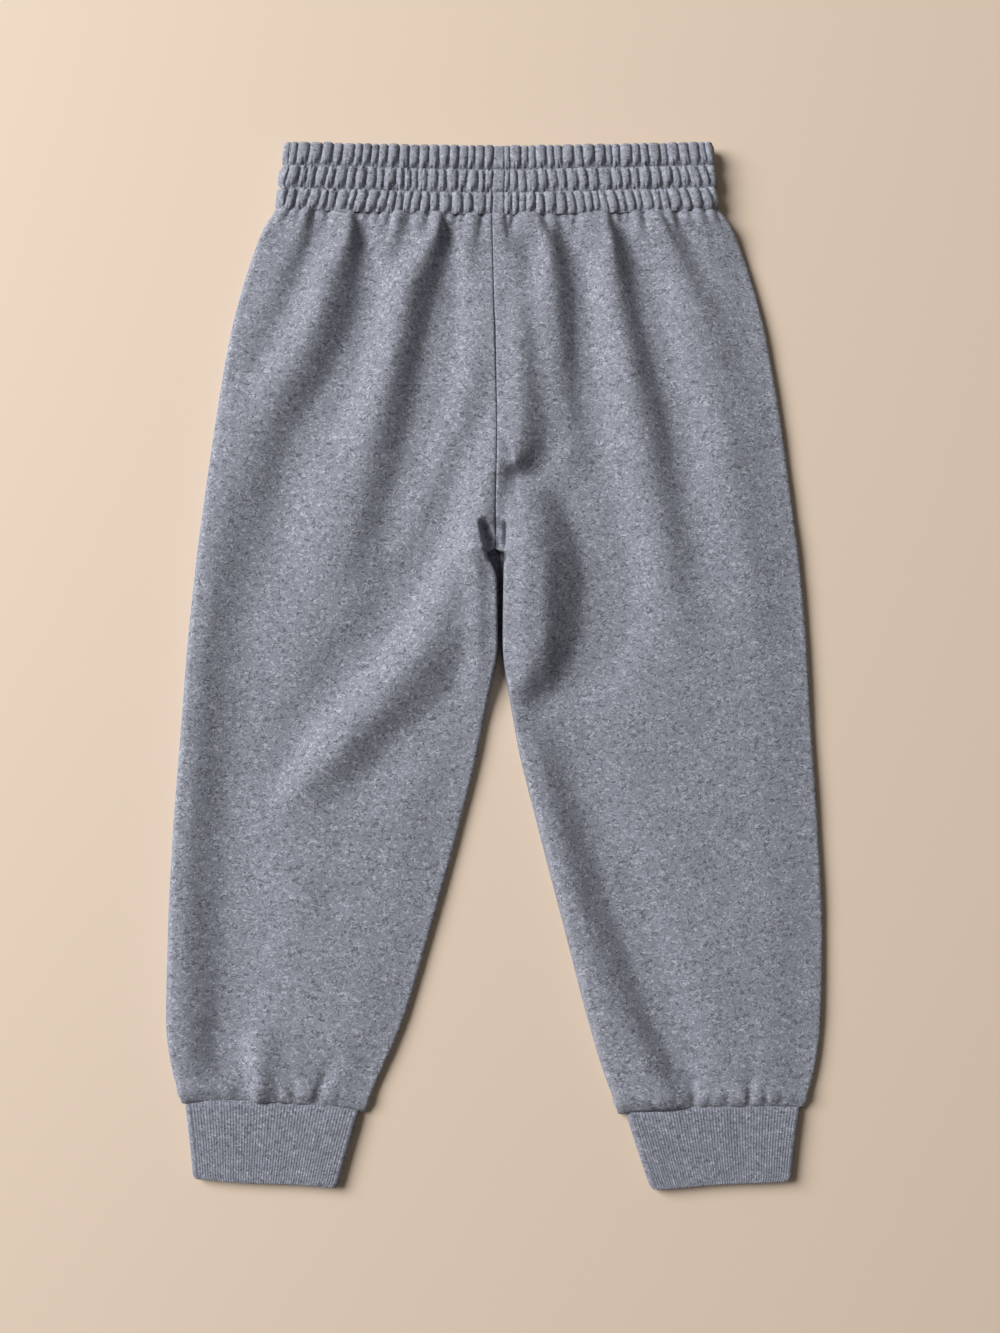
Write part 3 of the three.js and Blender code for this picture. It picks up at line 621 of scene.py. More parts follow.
def band_ring():
    """The length of the casing's flat faces, of its whole round, and the distance to the centre back."""
    length = BAND_LENGTH - CASING_HEIGHT
    around = 2 * length + math.pi * CASING_HEIGHT
    middle = -BAND_BOTTOM["left_x"] - CASING_HEIGHT / 2
    return length, around, middle


SEAM_GATHERS = gather_lines(np.random.default_rng(SEAM_SEED), *band_ring()[1:])


def notch_relief(notches, x, beyond):
    """The notches that a seam draws into the cloth, at distances beyond the seam."""
    total = np.zeros(x.shape)
    for row in notches:
        notch = dict(zip(NOTCH_COLUMNS, row))
        aside = x - notch["x"] - notch["lean"] * beyond
        width = notch["width"] * (1 + beyond / NOTCH_SPREAD)
        total -= notch["depth"] * bell(aside, width) * bell(beyond, notch["reach"])
    return total * lerp(SEAM_HOLD, 1, smoothstep(beyond, 0, SEAM_HOLD_REACH))


def waist_relief(x, below):
    """The lobes of cloth under the waist seam, with a notch between each two."""
    total = notch_relief(WAIST_NOTCHES, x, below)
    for first, second in zip(WAIST_NOTCHES[:-1], WAIST_NOTCHES[1:]):
        low, high = first[0], second[0]
        width = high - low
        lean = (first[-1] + second[-1]) / 2
        spread = width * (1 + below / width * LOBE_SPREAD)
        distance = np.abs(x - (low + high) / 2 - lean * below)
        hump = np.clip(1 - (2 * distance / spread) ** LOBE_FORM["side"], 0, 1) ** LOBE_FORM["top"]
        total += min(LOBE_RISE * width, LOBE_MOST) * hump * bell(below, LOBE_REACH * width)
    return total


def cuff_relief(x, above):
    """The cloth's puff over the cuff seam and the notches that the seam draws into it."""
    puff = CUFF_PUFF["rise"] * bell(above - CUFF_PUFF["above"], CUFF_PUFF["width"])
    return puff - seam_dip(CUFF_SEAM, above) + notch_relief(CUFF_NOTCHES, x, above)


def seam_dip(seam, distance):
    return seam["depth"] * bell(distance, seam["width"])


def crotch_hollows(x, y):
    """How far the cloth drops between the legs at the seat seam's lower end."""
    share = np.clip(1 - (y - SEAM_END) / GUSSET["height"], 0, GUSSET_FADE[1])
    left = GUSSET["left_x"] + GUSSET["left_shift"] * share
    inside = smoothstep(x, left + GUSSET_LEFT_EASE[0], left + GUSSET_LEFT_EASE[1])
    inside = inside * smoothstep(share, 0, GUSSET_TOP)
    gusset = inside * (1 - smoothstep(x, *GUSSET["right_x"]))
    pit_end = PIT["end_x"] + PIT["end_shift"] * share**2
    pit = inside * (1 - smoothstep(x, pit_end + PIT_EASE[0], pit_end + PIT_EASE[1]))
    crease = bell(x - CREASE["x"], CREASE["width"]) * smoothstep(share, *CREASE["top"])
    hollow = GUSSET["depth"] * gusset + PIT["depth"] * pit + CREASE["depth"] * crease
    bulge = bell(x - left + BULGE["left_inset"], BULGE["width"]) + bell(x - BULGE["right_x"], BULGE["width"])
    bulge = bulge * bell(share - BULGE_AT["share"], BULGE_AT["spread"])
    return hollow * (1 - smoothstep(share, *GUSSET_FADE)) - BULGE["rise"] * bulge


def crotch_puff(plan):
    """How much fuller each leg is beside the crotch."""
    soft_split = 1 - smoothstep(plan["y"], *PUFF_TOP)
    split = lerp(plan["split"], soft_split, smoothstep(plan["from_inner"], *PUFF_EASE))
    puff = bell(np.maximum(plan["from_inner"] - CROTCH_FULL[plan["side"]], 0), ROLL_WIDTH)
    return CROTCH_PUFF * split * puff * smoothstep(plan["y"], *PUFF_FOOT)


def crotch_overhang(plan):
    """How far each leg leans over the gap below the crotch."""
    top = plan["split"] if plan["side"] > 0 else smoothstep(-plan["y"], *OVERHANG_LEFT_TOP)
    rows = smoothstep(plan["y"], *OVERHANG_FOOT) * top
    return OVERHANG["reach"] * rows * bell(plan["from_inner"] - OVERHANG["inset"], OVERHANG["width"])


def soft_floor(height, least):
    """The height, eased so that it stays over the least one."""
    return least + LOWEST_EASE * np.logaddexp(0, (height - least) / LOWEST_EASE)


def edge_flatness(plan):
    """How flat the outer and the inner edge lie: those that face right do, on either leg."""
    none = np.zeros(plan["x"].shape)
    outer = smoothstep(plan["below_waist"], *FLAT_BELOW_WAIST) if plan["side"] > 0 else none
    inner = plan["split"] * smoothstep(-plan["y"], *FLAT_BELOW_CROTCH) if plan["side"] < 0 else none
    return outer, inner


def edge_rise(plan, flat_outer, flat_inner):
    """The share of its height that the back has near its rounded edges."""
    outer_round = lerp(EDGE_ROUND, FLAT_ROUND, flat_outer)
    inner_round = lerp(CROTCH_ROUND, EDGE_ROUND, smoothstep(-plan["y"], *CROTCH_STEEP))
    inner_round = lerp(inner_round, FLAT_ROUND, flat_inner)
    outer_rise = quarter_round(plan["from_outer"] / outer_round)
    inner_rise = 1 - plan["split"] * (1 - quarter_round(plan["from_inner"] / inner_round))
    return outer_rise * inner_rise


def back_surface(rows, across, down, seed):
    """The back of a leg: its crown, rolled edges and folds, and what its seams do to it."""
    plan = leg_plan(rows, across, down)
    x, y = plan["x"], plan["y"]
    flat_outer, flat_inner = edge_flatness(plan)
    lower_outer = flat_outer * (1 - smoothstep(plan["from_outer"], 0, FLAT_REACH))
    lower_inner = flat_inner * (1 - smoothstep(plan["from_inner"], 0, FLAT_REACH))
    outer_roll = bell(np.maximum(plan["from_outer"] - ROLL_INSET, 0), ROLL_WIDTH)
    inner_roll = plan["split"] * bell(np.maximum(plan["from_inner"] - ROLL_INSET, 0), ROLL_WIDTH)
    rolls = outer_roll * (1 - flat_outer) + inner_roll * (1 - flat_inner)
    height = plan["crown"] + plan["roll"] * rolls + fold_relief(BACK_FOLDS, x, y)
    height = height * (1 - (1 - FLAT_SHARE) * (lower_outer + lower_inner))
    for i, hill in enumerate(HILLS):
        height = height + hill["rise"] * undulation(x, y, hill["size"], seed + i)
    height = height + crotch_puff(plan)
    from_dip = np.hypot(x - SEAT_DIP["x"], y - SEAT_DIP["y"])
    height = height - SEAT_DIP["depth"] * bell(from_dip, SEAT_DIP["size"])
    height = height + waist_relief(x, plan["below_waist"]) - seam_dip(WAIST_SEAM, plan["below_waist"])
    height = height - (1 - plan["split"]) * seam_dip(SEAT_SEAM, plan["from_inner"])
    height = height - crotch_hollows(x, y)
    height = height + cuff_relief(x, plan["above_cuff"])
    swell = CUFF_OVERHANG["reach"] * (1 - 2 * across)
    swell = swell * bell(plan["above_cuff"] - CUFF_OVERHANG["above"], CUFF_OVERHANG["width"])
    x = x + plan["side"] * (swell - crotch_overhang(plan))
    z = BACK_EDGE + soft_floor(height, LOWEST) * edge_rise(plan, flat_outer, flat_inner)
    # the raw edges tuck in under the waistband and the cuff
    at_waist = bell(plan["below_waist"], TUCK["width"])
    at_cuff = bell(plan["above_cuff"], TUCK["width"])
    y = y + TUCK["reach"] * (at_waist - at_cuff)
    z = z - TUCK["drop"] * (at_waist + at_cuff)
    return np.stack((x, y, z), axis=-1)


def front_surface(rows, across, down, seed):
    """The hidden front of a leg: flat on the floor, with faint creases and curled edges."""
    plan = leg_plan(rows, across, down)
    x, y = plan["x"], plan["y"]
    outer_curl = 1 - quarter_round(plan["from_outer"] / LIP_RADIUS)
    # under the crotch the fronts all but meet and lie low, in the shade of the legs
    meet_top = (SEAM_END + MEET_TOP[0], SEAM_END + MEET_TOP[1])
    nearer = smoothstep(y, *MEET_FOOT) * (1 - smoothstep(y, *meet_top))
    inner_curl = plan["split"] * (1 - nearer) * (1 - quarter_round(plan["from_inner"] / LIP_RADIUS))
    curl = LIP_HEIGHT * np.maximum(outer_curl, inner_curl)
    gap = np.clip(plan["side"] * (plan["inner_x"] - FRONTS_MEET) - SEAT_GAP, 0, MEET_MOST)
    x = x - plan["side"] * nearer * gap * bell(plan["from_inner"], MEET_WIDTH)
    lifted = np.maximum(fold_relief(FRONT_FOLDS, x, y), 0)
    hills = undulation(x, y, FRONT_HILL["size"], seed)
    lifted = lifted + FRONT_HILL["rise"] * np.maximum(hills, 0)
    most = FRONT_PUCKER["most"]
    puckers = np.clip(most - waist_relief(-x, plan["below_waist"]), 0, most)
    lifted = lifted + FRONT_PUCKER["share"] * puckers * bell(plan["below_waist"], FRONT_PUCKER["reach"])
    edge = np.minimum(plan["from_outer"], plan["from_inner"] + SEAT_INSIDE * (1 - plan["split"]))
    z = curl + np.minimum(lifted, FRONT_LIFT) * smoothstep(edge, *FRONT_EDGE)
    return np.stack((x, y, z), axis=-1)


def panel_shares(width, edge_size, edge_step, body_step):
    """Shares across a panel, close together over its edges."""
    edge = np.arange(0, edge_size, edge_step) / width
    count = int((width - 2 * edge_size) / body_step)
    body = np.linspace(edge_size / width, 1 - edge_size / width, count)
    return np.concatenate((edge, body, 1 - edge[::-1]))


def make_panel(name, rows, surface, seed, steps, facing, finish):
    width = abs(rows[CROTCH_ROW][0] - rows[CROTCH_ROW][2])
    length = rows[0][1] - rows[-1][1]
    shares = panel_shares(width, CLOSE_EDGE, steps["edge"], steps["body"])
    # the table's rows aren't evenly spaced, so each step down is found by its place along the outer edge
    knots = [row[1] for row in rows]
    fine = np.linspace(0, 1, FINE_STEPS)
    heights = between(knots, fine)
    wanted = rows[0][1] - panel_shares(length, CLOSE_END, steps["end"], steps["body"]) * length
    wanted = wanted[(wanted > CROTCH_ZONE[1]) | (wanted < CROTCH_ZONE[0])]
    close = np.arange(CROTCH_ZONE[1], CROTCH_ZONE[0], -steps["edge"])
    wanted = np.sort(np.concatenate((wanted, close)))[::-1]
    downs = np.interp(-wanted, -heights, fine)
    across, down = np.meshgrid(shares, downs)
    points = surface(rows, across, down, seed)
    u = along_rows(points, len(shares) // 2)
    uv = np.stack((u, points[..., 1]), axis=-1)
    piece = cloth_object(name, points, uv, finish, facing)
    thicken(piece, CLOTH)
    return piece


# The waistband and the cuffs, which are flattened tubes of cloth folded in two

def ring_places(top_count, end_count, under_count):
    """Places round a flattened tube: how far across the flat part, and the angle that faces out."""
    top = np.linspace(0, 1, top_count)
    end = np.linspace(0, math.pi, end_count + 2)[1:-1]
    under = np.linspace(1, 0, under_count)
    flat = np.concatenate((top, np.ones(end_count), under, np.zeros(end_count), [0]))
    turn = np.concatenate(
        (np.zeros(top_count), end, np.full(under_count, math.pi), math.pi + end, [2 * math.pi])
    )
    return flat, turn


def ring_run(flat, turn, length, radius):
    """Distance round the tube, from the left of its upper face."""
    over = np.where(turn < math.pi / 2, flat * length, 0)
    right = np.where((flat > 0.999) & (turn < math.pi), length + radius * turn, 0)
    under = length + radius * math.pi + (1 - flat) * length
    left = 2 * length + radius * turn
    run = np.where(turn <= 0, over, right)
    run = np.where(np.isclose(turn, math.pi), under, run)
    return np.where(turn > math.pi + 1e-6, left, run)


def place_ring(left, right, flat, turn, out, radius, sag):
    """Points of a tube from its ends on the floor plan. left and right hold one x and y for each row."""
    span = right - left
    width = np.linalg.norm(span, axis=-1)[:, None]
    ahead = span / width
    along = lerp(radius, width - radius, flat) + np.sin(turn) * out
    x = left[:, :1] + ahead[:, :1] * along
    y = left[:, 1:] + ahead[:, 1:] * along + sag(along / width)
    z = radius + np.cos(turn) * out
    return np.stack((x, y, z), axis=-1)


def channel_relief(rng, lines, depths, lean, run, level, length, middle):
    """The gathers of one channel: soft tubes that narrow to both rows of stitching."""
    count = len(lines)
    toward = np.clip((run - middle) / middle, -1, 1)
    slow = np.sin(run / SLOW_WAVER["length"] + rng.uniform(*WAVER_START))
    waver = SLOW_WAVER["reach"] * slow * level
    twist = level * QUICK_WAVER["twist"]
    quick = np.sin(run / QUICK_WAVER["length"] + twist + rng.uniform(*WAVER_START))
    waver = waver + QUICK_WAVER["reach"] * quick * level
    place = np.mod(run + lean * toward * level + waver, length)
    k = np.clip(np.searchsorted(lines, place) - 1, 0, count - 2)
    width = lines[k + 1] - lines[k]
    tau = (place - lines[k]) / width
    is_flat = np.isclose(lines[k] - middle, FLAT_SPOT[0])

    def drawn(name):
        return rng.uniform(*TUBE[name], count)[k]

    valley = depths[k] * bell(tau * width, VALLEY_WIDTH)
    valley = valley + depths[k + 1] * bell((1 - tau) * width, VALLEY_WIDTH)
    fullness = np.clip(width / TUBE_FULL["width"], *TUBE_FULL["limits"])
    tall = np.where(is_flat, FLAT_SPOT_RISE, drawn("height") * fullness)
    # the tubes narrow to rounded ends, which reach unequally far
    low_end = drawn("end")
    high_end = drawn("end")
    reach = np.clip((level - low_end) / (1 - low_end - high_end), 0, 1)
    from_middle = np.abs(2 * reach - 1)
    narrow = 1 - drawn("narrowing") * from_middle ** TUBE_FORM["narrowing"]
    shift = drawn("lean") * (2 * reach - 1)
    round_side = np.abs((2 * tau - 1 - shift) / narrow) ** TUBE_FORM["side"]
    across = np.where(is_flat, np.abs(2 * tau - 1) ** FLAT_SPOT_SIDE, round_side)
    crown = np.clip(1 - across - from_middle ** TUBE_FORM["end"], 0, 1) ** TUBE_FORM["top"]
    # some part in two where they run into the stitching
    from_stitching = np.minimum(level, 1 - level)
    part = drawn("part")
    fork = drawn("fork") * np.where(is_flat, 0, 1)
    parted = fork * bell(from_stitching, FORK["reach"]) * bell((tau - part) * width, FORK["width"])
    pinch = STITCH_SINK * bell(from_stitching, STITCH_WIDTH)
    return GATHER_RISE * tall * crown - VALLEY_DEPTH * valley - parted - pinch


def make_band(finish):
    """The casing: up the outside, over the fold at the top and down the inside."""
    radius = CASING_HEIGHT / 2
    inner = radius - CASING_WALL + CASING_CLOTH
    flat, turn = ring_places(BAND_COLUMNS, BAND_END_COLUMNS, BAND_UNDER_COLUMNS)
    length, around, middle = band_ring()
    run = ring_run(flat, turn, length, radius)
    step = (1 - np.cos(np.linspace(0, math.pi, CHANNEL_ROWS + 1))) / 2
    outer_up = [(channel + t) / CHANNELS for channel in range(CHANNELS) for t in step[:-1]]
    outer_up = [up for up in outer_up if up < CASING_FOLD["from"]]
    fold_turn = np.linspace(0, math.pi, CASING_FOLD["turns"])
    inner_up = CASING_FOLD["inner_rows"]
    up = np.array(outer_up + [CASING_FOLD["from"]] * len(fold_turn) + list(inner_up))
    over = np.array([0] * len(outer_up) + list(fold_turn) + [math.pi] * len(inner_up))
    rng = np.random.default_rng(BAND_SEED)
    relief = np.zeros((len(up), len(run)))
    channel_of = np.minimum((up * CHANNELS).astype(int), CHANNELS - 1)
    for channel in range(CHANNELS):
        mine = channel_of == channel
        is_top = channel == CHANNELS - 1
        level = np.minimum(up[mine] * CHANNELS - channel, 0.5 if is_top else 1)[:, None]
        lines, depths = SEAM_GATHERS if channel == 0 else gather_lines(rng, around, middle)
        lean = GATHER_LEAN[channel]
        relief[mine] = channel_relief(rng, lines, depths, lean, run[None, :], level, around, middle)
    outside = (1 + np.cos(over[:, None])) / 2
    under = smoothstep(-np.cos(turn), *UNDERSIDE)[None, :]
    relief = relief * outside
    relief = lerp(relief, np.minimum(relief - GATHER_RISE, 0), under * outside)
    relief = relief - GATHER_RISE * np.abs(np.sin(turn))[None, :] * outside
    shell = (radius - inner) / 2
    out = inner + shell + shell * np.cos(over[:, None]) + relief
    lean = up**BAND_TAPER
    end_y = lerp(BAND_BOTTOM["end_y"], BAND_TOP["end_y"], up)
    middle_y = lerp(BAND_BOTTOM["middle_y"], BAND_TOP["middle_y"], up)
    left = np.stack((lerp(BAND_BOTTOM["left_x"], BAND_TOP["left_x"], lean), end_y), axis=-1)
    right = np.stack((lerp(BAND_BOTTOM["right_x"], BAND_TOP["right_x"], lean), end_y), axis=-1)
    sag = (middle_y - end_y)[:, None]
    points = place_ring(
        left, right, flat[None, :], turn[None, :], out, radius,
        lambda share: sag * (1 - (2 * np.clip(share, 0, 1) - 1) ** 2),
    )
    bulge = shell * FOLD_BULGE["shell"] + FOLD_BULGE["relief"] * relief
    points[..., 1] += np.sin(over[:, None]) * bulge
    sway = BAND_SWAY["reach"] * np.sin(run[None, :] / BAND_SWAY["length"])
    points[..., 1] += sway * np.sin(math.pi * up[:, None])
    points[..., 2] = np.maximum(points[..., 2], 0)
    cloth_run = np.broadcast_to(run * CUT["band"][0][0] / (around * MM), relief.shape)
    cloth_up = (up * BAND_CLOTH["height"] + over * BAND_CLOTH["fold"])[:, None]
    cloth_up = np.broadcast_to(cloth_up, relief.shape) + BAND_CLOTH["at"]
    uv = np.stack((cloth_run, cloth_up), axis=-1)
    piece = cloth_object("waistband_casing", points, uv, finish)
    thicken(piece, CASING_CLOTH)
    return piece, points


def make_stitching(points, finish):
    """The lockstitches between the channels, over the band's upper face."""
    bm = bmesh.new()
    lie_down = Matrix.Rotation(math.radians(90), 4, "Y")
    slender = Matrix.Diagonal((THREAD, THREAD, STITCH_LENGTH / 2, 1))
    for row in range(0, CHANNELS * CHANNEL_ROWS, CHANNEL_ROWS):
        line = points[row, :BAND_COLUMNS]
        first, last = line[0, 0] + STITCHES_END, line[-1, 0] - STITCHES_END
        for x in np.arange(first, last, STITCH_PITCH):
            near = line[np.abs(line[:, 0] - x) < STITCH_LENGTH / 2]
            run = near[-1] - near[0]
            # the lowest row lies just inside the casing's edge
            y = near[:, 1].mean() + (EDGE_STITCH if row == 0 else 0)
            place = Matrix.Translation(Vector((x, y, near[:, 2].mean() + THREAD)) * MM)
            turn = Matrix.Rotation(math.atan2(run[1], run[0]), 4, "Z")
            bmesh.ops.create_uvsphere(
                bm,
                u_segments=STITCH_SIDES,
                v_segments=STITCH_SIDES,
                radius=MM,
                matrix=place @ turn @ lie_down @ slender,
            )
    return mesh_object("waist_stitching", bm, finish)


def make_cuff(name, ends, seed, finish):
    """A ribbed cuff: down the outside, round the hem and up the inside."""
    radius = CUFF_HEIGHT / 2
    inner = radius - RIB_WALL + RIB_CLOTH
    shell = (radius - inner) / 2
    face_columns = RIBS * RIB_COLUMNS + 1
    flat, turn = ring_places(face_columns, CUFF_END_COLUMNS, face_columns)
    length = abs(ends["top"]["outer"][0] - ends["top"]["inner"][0]) - CUFF_HEIGHT
    run = ring_run(flat, turn, length, radius)
    fold_turn = np.linspace(0, math.pi, HEM_TURNS)[1:-1]
    down = np.array([*CUFF_ROWS, *[CUFF_ROWS[-1]] * len(fold_turn), *HEM_INNER_ROWS])
    over = np.array([0] * len(CUFF_ROWS) + list(fold_turn) + [math.pi] * len(HEM_INNER_ROWS))
    outside = (1 + np.cos(over[:, None])) / 2
    wave = np.cos(2 * math.pi * run / length * RIBS)[None, :]
    rng = np.random.default_rng(seed)
    knots = np.linspace(0, run.max(), RIB_UNEVEN["knots"])
    uneven = np.interp(run, knots, rng.uniform(-1, 1, RIB_UNEVEN["knots"]))[None, :]
    uneven = RIB_UNEVEN["rise"] * uneven * bell(down[:, None], RIB_UNEVEN["reach"])
    relief = RIB_RISE * (0.5 + 0.5 * wave) + uneven
    seam_pull = CUFF_PULL["depth"] * bell(down[:, None], CUFF_PULL["reach"])
    relief = (relief - seam_pull) * outside
    under = smoothstep(-np.cos(turn), *UNDERSIDE)[None, :]
    relief = lerp(relief, np.minimum(relief - RIB_RISE - RIB_SINK, 0), under * outside)
    out = inner + shell + shell * np.cos(over[:, None]) + relief
    is_left = ends["top"]["outer"][0] < 0
    names = ("outer", "inner") if is_left else ("inner", "outer")
    left, right = (
        np.array([lerp(np.array(ends["top"][side]), np.array(ends["hem"][side]), t) for t in down])
        for side in names
    )
    corner = HEM_CORNER * (1 - quarter_round((1 - down) / HEM_CORNER_SHARE))
    bow = np.sin(math.pi * down)
    left_bow, right_bow = CUFF_BOW["left" if is_left else "right"]
    left[:, 0] += corner + bow * left_bow
    right[:, 0] -= corner + bow * right_bow
    arch = 4 * CUFF_ARCH[-1 if is_left else 1] * (1 - down[:, None])

    def sag(share):
        sway = np.sin(2 * math.pi * share * CUFF_SWAY["turns"] + seed)
        return arch * share * (1 - share) + CUFF_SWAY["reach"] * sway

    points = place_ring(left, right, flat[None, :], turn[None, :], out, radius, sag)
    bulge = shell * HEM_BULGE["shell"] + HEM_BULGE["relief"] * relief
    points[..., 1] -= np.sin(over[:, None]) * bulge
    points[..., 2] = np.maximum(points[..., 2], 0)
    cloth_run = np.broadcast_to(run, relief.shape) + seed * CUFF_CLOTH["step"]
    cloth_down = (-down * CUFF_CLOTH["height"] - over * CUFF_CLOTH["hem"])[:, None]
    uv = np.stack((cloth_run, np.broadcast_to(cloth_down, relief.shape)), axis=-1)
    piece = cloth_object(name, points, uv, finish)
    thicken(piece, RIB_CLOTH)
    return piece


# Finishes

class Wire:
    """A shader socket. Arithmetic on it adds Math nodes."""

    def __init__(self, finish, socket):
        self.finish = finish
        self.socket = socket

    def math(self, operation, first, second):
        return self.finish.node("ShaderNodeMath", {"operation": operation}, {0: first, 1: second})

    def __add__(self, other):
        return self.math("ADD", self, other)

    def __sub__(self, other):
        return self.math("SUBTRACT", self, other)

    def __mul__(self, other):
        return self.math("MULTIPLY", self, other)

    def __rsub__(self, other):
        return self.math("SUBTRACT", other, self)

    __radd__ = __add__
    __rmul__ = __mul__


class Finish:
    """One material, whose nodes are added by its methods."""

    def __init__(self, name):
        self.material = bpy.data.materials.new(name)
        self.material.use_nodes = True
        self.tree = self.material.node_tree
        self.tree.nodes.clear()

    def node(self, kind, settings, sockets, output=0):
        node = self.tree.nodes.new(kind)
        for key, value in settings.items():
            setattr(node, key, value)
        for key, value in sockets.items():
            if isinstance(value, Wire):
                self.tree.links.new(value.socket, node.inputs[key])
            else:
                node.inputs[key].default_value = value
        return Wire(self, node.outputs[output]) if node.outputs else None

    def vector(self, operation, first, second):
        return self.node("ShaderNodeVectorMath", {"operation": operation}, {0: first, 1: second})

    def mix(self, share, first, second):
        return self.node("ShaderNodeMix", {"data_type": "RGBA"}, {0: share, 6: first, 7: second}, 2)

    def ramp(self, value, low, high):
        return self.node(
            "ShaderNodeMapRange",
            {"interpolation_type": "SMOOTHSTEP"},
            {"Value": value, "From Min": low, "From Max": high},
        )

    def noise(self, at, scale, detail=1.0, roughness=0.5, distortion=0.0):
        return self.node(
            "ShaderNodeTexNoise",
            {},
            {
                "Vector": at,
                "Scale": scale,
                "Detail": detail,
                "Roughness": roughness,
                "Distortion": distortion,
            },
        )

    def surface(self, sockets):
        shader = self.node("ShaderNodeBsdfPrincipled", {}, sockets)
        self.node("ShaderNodeOutputMaterial", {}, {"Surface": shader})


def srgb(red, green, blue):
    """A colour as seen on a screen, 0 to 255, as the shader's own numbers."""
    def linear(value):
        value /= 255
        return value / 12.92 if value <= 0.04045 else ((value + 0.055) / 1.055) ** 2.4
    return (linear(red), linear(green), linear(blue), 1)


FLEECE_LIGHT = srgb(186, 191, 204)
FLEECE_MID = srgb(134, 138, 151)
FLEECE_DARK = srgb(92, 95, 106)
# painted light: the waistband casing is the same fleece, given a paler mid colour so that it reads as
# brighter lit than the legs
CASING_PAINTED_LIGHT_MID = srgb(144, 148, 161)
RIB_LIGHT = srgb(176, 181, 195)
RIB_MID = srgb(128, 132, 145)
RIB_DARK = srgb(94, 97, 109)
THREAD_GREY = srgb(128, 131, 143)
FLOOR_COLOUR = srgb(224, 205, 186)

FIBRE_LONG = 2.6 * MM
FIBRE_THICK = 1.8 * MM
FUZZ = 0.35 * MM
KNIT_COURSE = 0.9 * MM
THREAD_TWIST = 0.35 * MM
WAVE_BANDS = 20  # of a wave texture, over its scale
CLOUDS = 70.0  # uneven patches of dye, to the metre

# The layers of fibre in the knit: how each is shifted, how it is turned in degrees, between which
# values of its noise it shows, and its size
STREAKS = {
    "pale": ((0, 0, 0), 17, 0.52, 0.7, 1),
    "pale_crossed": ((7.7, 2.9, 0), -21, 0.55, 0.72, 0.9),
    "deep": ((3.1, 1.7, 0), -8, 0.5, 0.7, 1.0),
    "fine_pale": ((5.3, 0.4, 0), 35, 0.5, 0.72, 0.5),
}
STREAK_SHARES = {"pale": 0.82, "deep": 0.95, "fine_pale": 0.16, "clouds": 0.14}


def melange(name, mid, light, dark, ribbed):
    """Brushed knit in two shades of fibre: short wavering streaks that lie mostly across the cloth."""
    finish = Finish(name)
    cloth = finish.node("ShaderNodeUVMap", {"uv_map": "cloth"}, {})

    def streaks(shift, turn, low, high, size):
        turned = finish.node(
            "ShaderNodeMapping",
            {"vector_type": "POINT"},
            {"Vector": cloth, "Location": shift, "Rotation": (0, 0, math.radians(turn))},
        )
        stretch = (1 / (FIBRE_LONG * size), 1 / (FIBRE_THICK * size), 1)
        at = finish.vector("MULTIPLY", turned, stretch)
        return finish.ramp(finish.noise(at, 1.0, 1.5, 0.55, 1.4), low, high)

    pale = streaks(*STREAKS["pale"])
    crossed = streaks(*STREAKS["pale_crossed"])
    pale = finish.node("ShaderNodeMath", {"operation": "MAXIMUM"}, {0: pale, 1: crossed})
    deep = streaks(*STREAKS["deep"])
    fine_pale = streaks(*STREAKS["fine_pale"])
    clouds = finish.ramp(finish.noise(cloth, CLOUDS, 2.0), 0.35, 0.7)
    colour = finish.mix(pale * STREAK_SHARES["pale"], mid, light)
    colour = finish.mix(deep * STREAK_SHARES["deep"], colour, dark)
    colour = finish.mix(fine_pale * STREAK_SHARES["fine_pale"], colour, light)
    colour = finish.mix(clouds * STREAK_SHARES["clouds"], colour, dark)
    fuzz = finish.noise(cloth, 1 / FUZZ, 2.0, 0.6)
    height = pale * 0.5 - deep * 0.6 + fuzz * 0.6
    if ribbed:
        scale = 1 / (WAVE_BANDS * KNIT_COURSE)
        stitches = finish.node(
            "ShaderNodeTexWave",
            {"bands_direction": "Y", "wave_profile": "SIN"},
            {"Vector": cloth, "Scale": scale, "Distortion": 1.2, "Detail": 1.0},
            1,
        )
        height = height + stitches * 0.4
    bump = finish.node(
        "ShaderNodeBump", {}, {"Strength": 0.55, "Distance": 0.25 * MM, "Height": height}
    )
    finish.surface(
        {
            "Base Color": colour,
            "Roughness": fuzz * 0.1 + 0.86,
            "Specular IOR Level": 0.25,
            "Sheen Weight": 0.12,
            "Sheen Roughness": 0.6,
            "Normal": bump,
        }
    )
    return finish.material


def make_thread():
    """Spun thread, twisted along each stitch."""
    finish = Finish("thread")
    place = finish.node("ShaderNodeTexCoord", {}, {}, 3)
    scale = 1 / (WAVE_BANDS * THREAD_TWIST)
    twist = finish.node(
        "ShaderNodeTexWave", {"bands_direction": "DIAGONAL"}, {"Vector": place, "Scale": scale}, 1
    )
    bump = finish.node("ShaderNodeBump", {}, {"Strength": 0.6, "Distance": 0.05 * MM, "Height": twist})
    colour = finish.mix(twist * 0.4, THREAD_GREY, RIB_DARK)
    finish.surface({"Base Color": colour, "Roughness": 0.6, "Normal": bump})
    return finish.material


# The floor and the light

FLOOR_HALF = 6  # metres
FLOOR_UNDER = 0.1  # the floor lies this far below the cloth
LAMPS = {  # in metres and watts
    "window": {"place": (-3.0, 1.35, 2.5), "size": 3.0, "power": 262, "colour": (1.0, 0.985, 0.965)},
    "bounce": {"place": (1.6, -1.2, 2.4), "size": 2.4, "power": 2, "colour": (1.0, 0.97, 0.94)},
}
ROOM_COLOUR = (1.0, 0.94, 0.86, 1)
ROOM_STRENGTH = 0.1


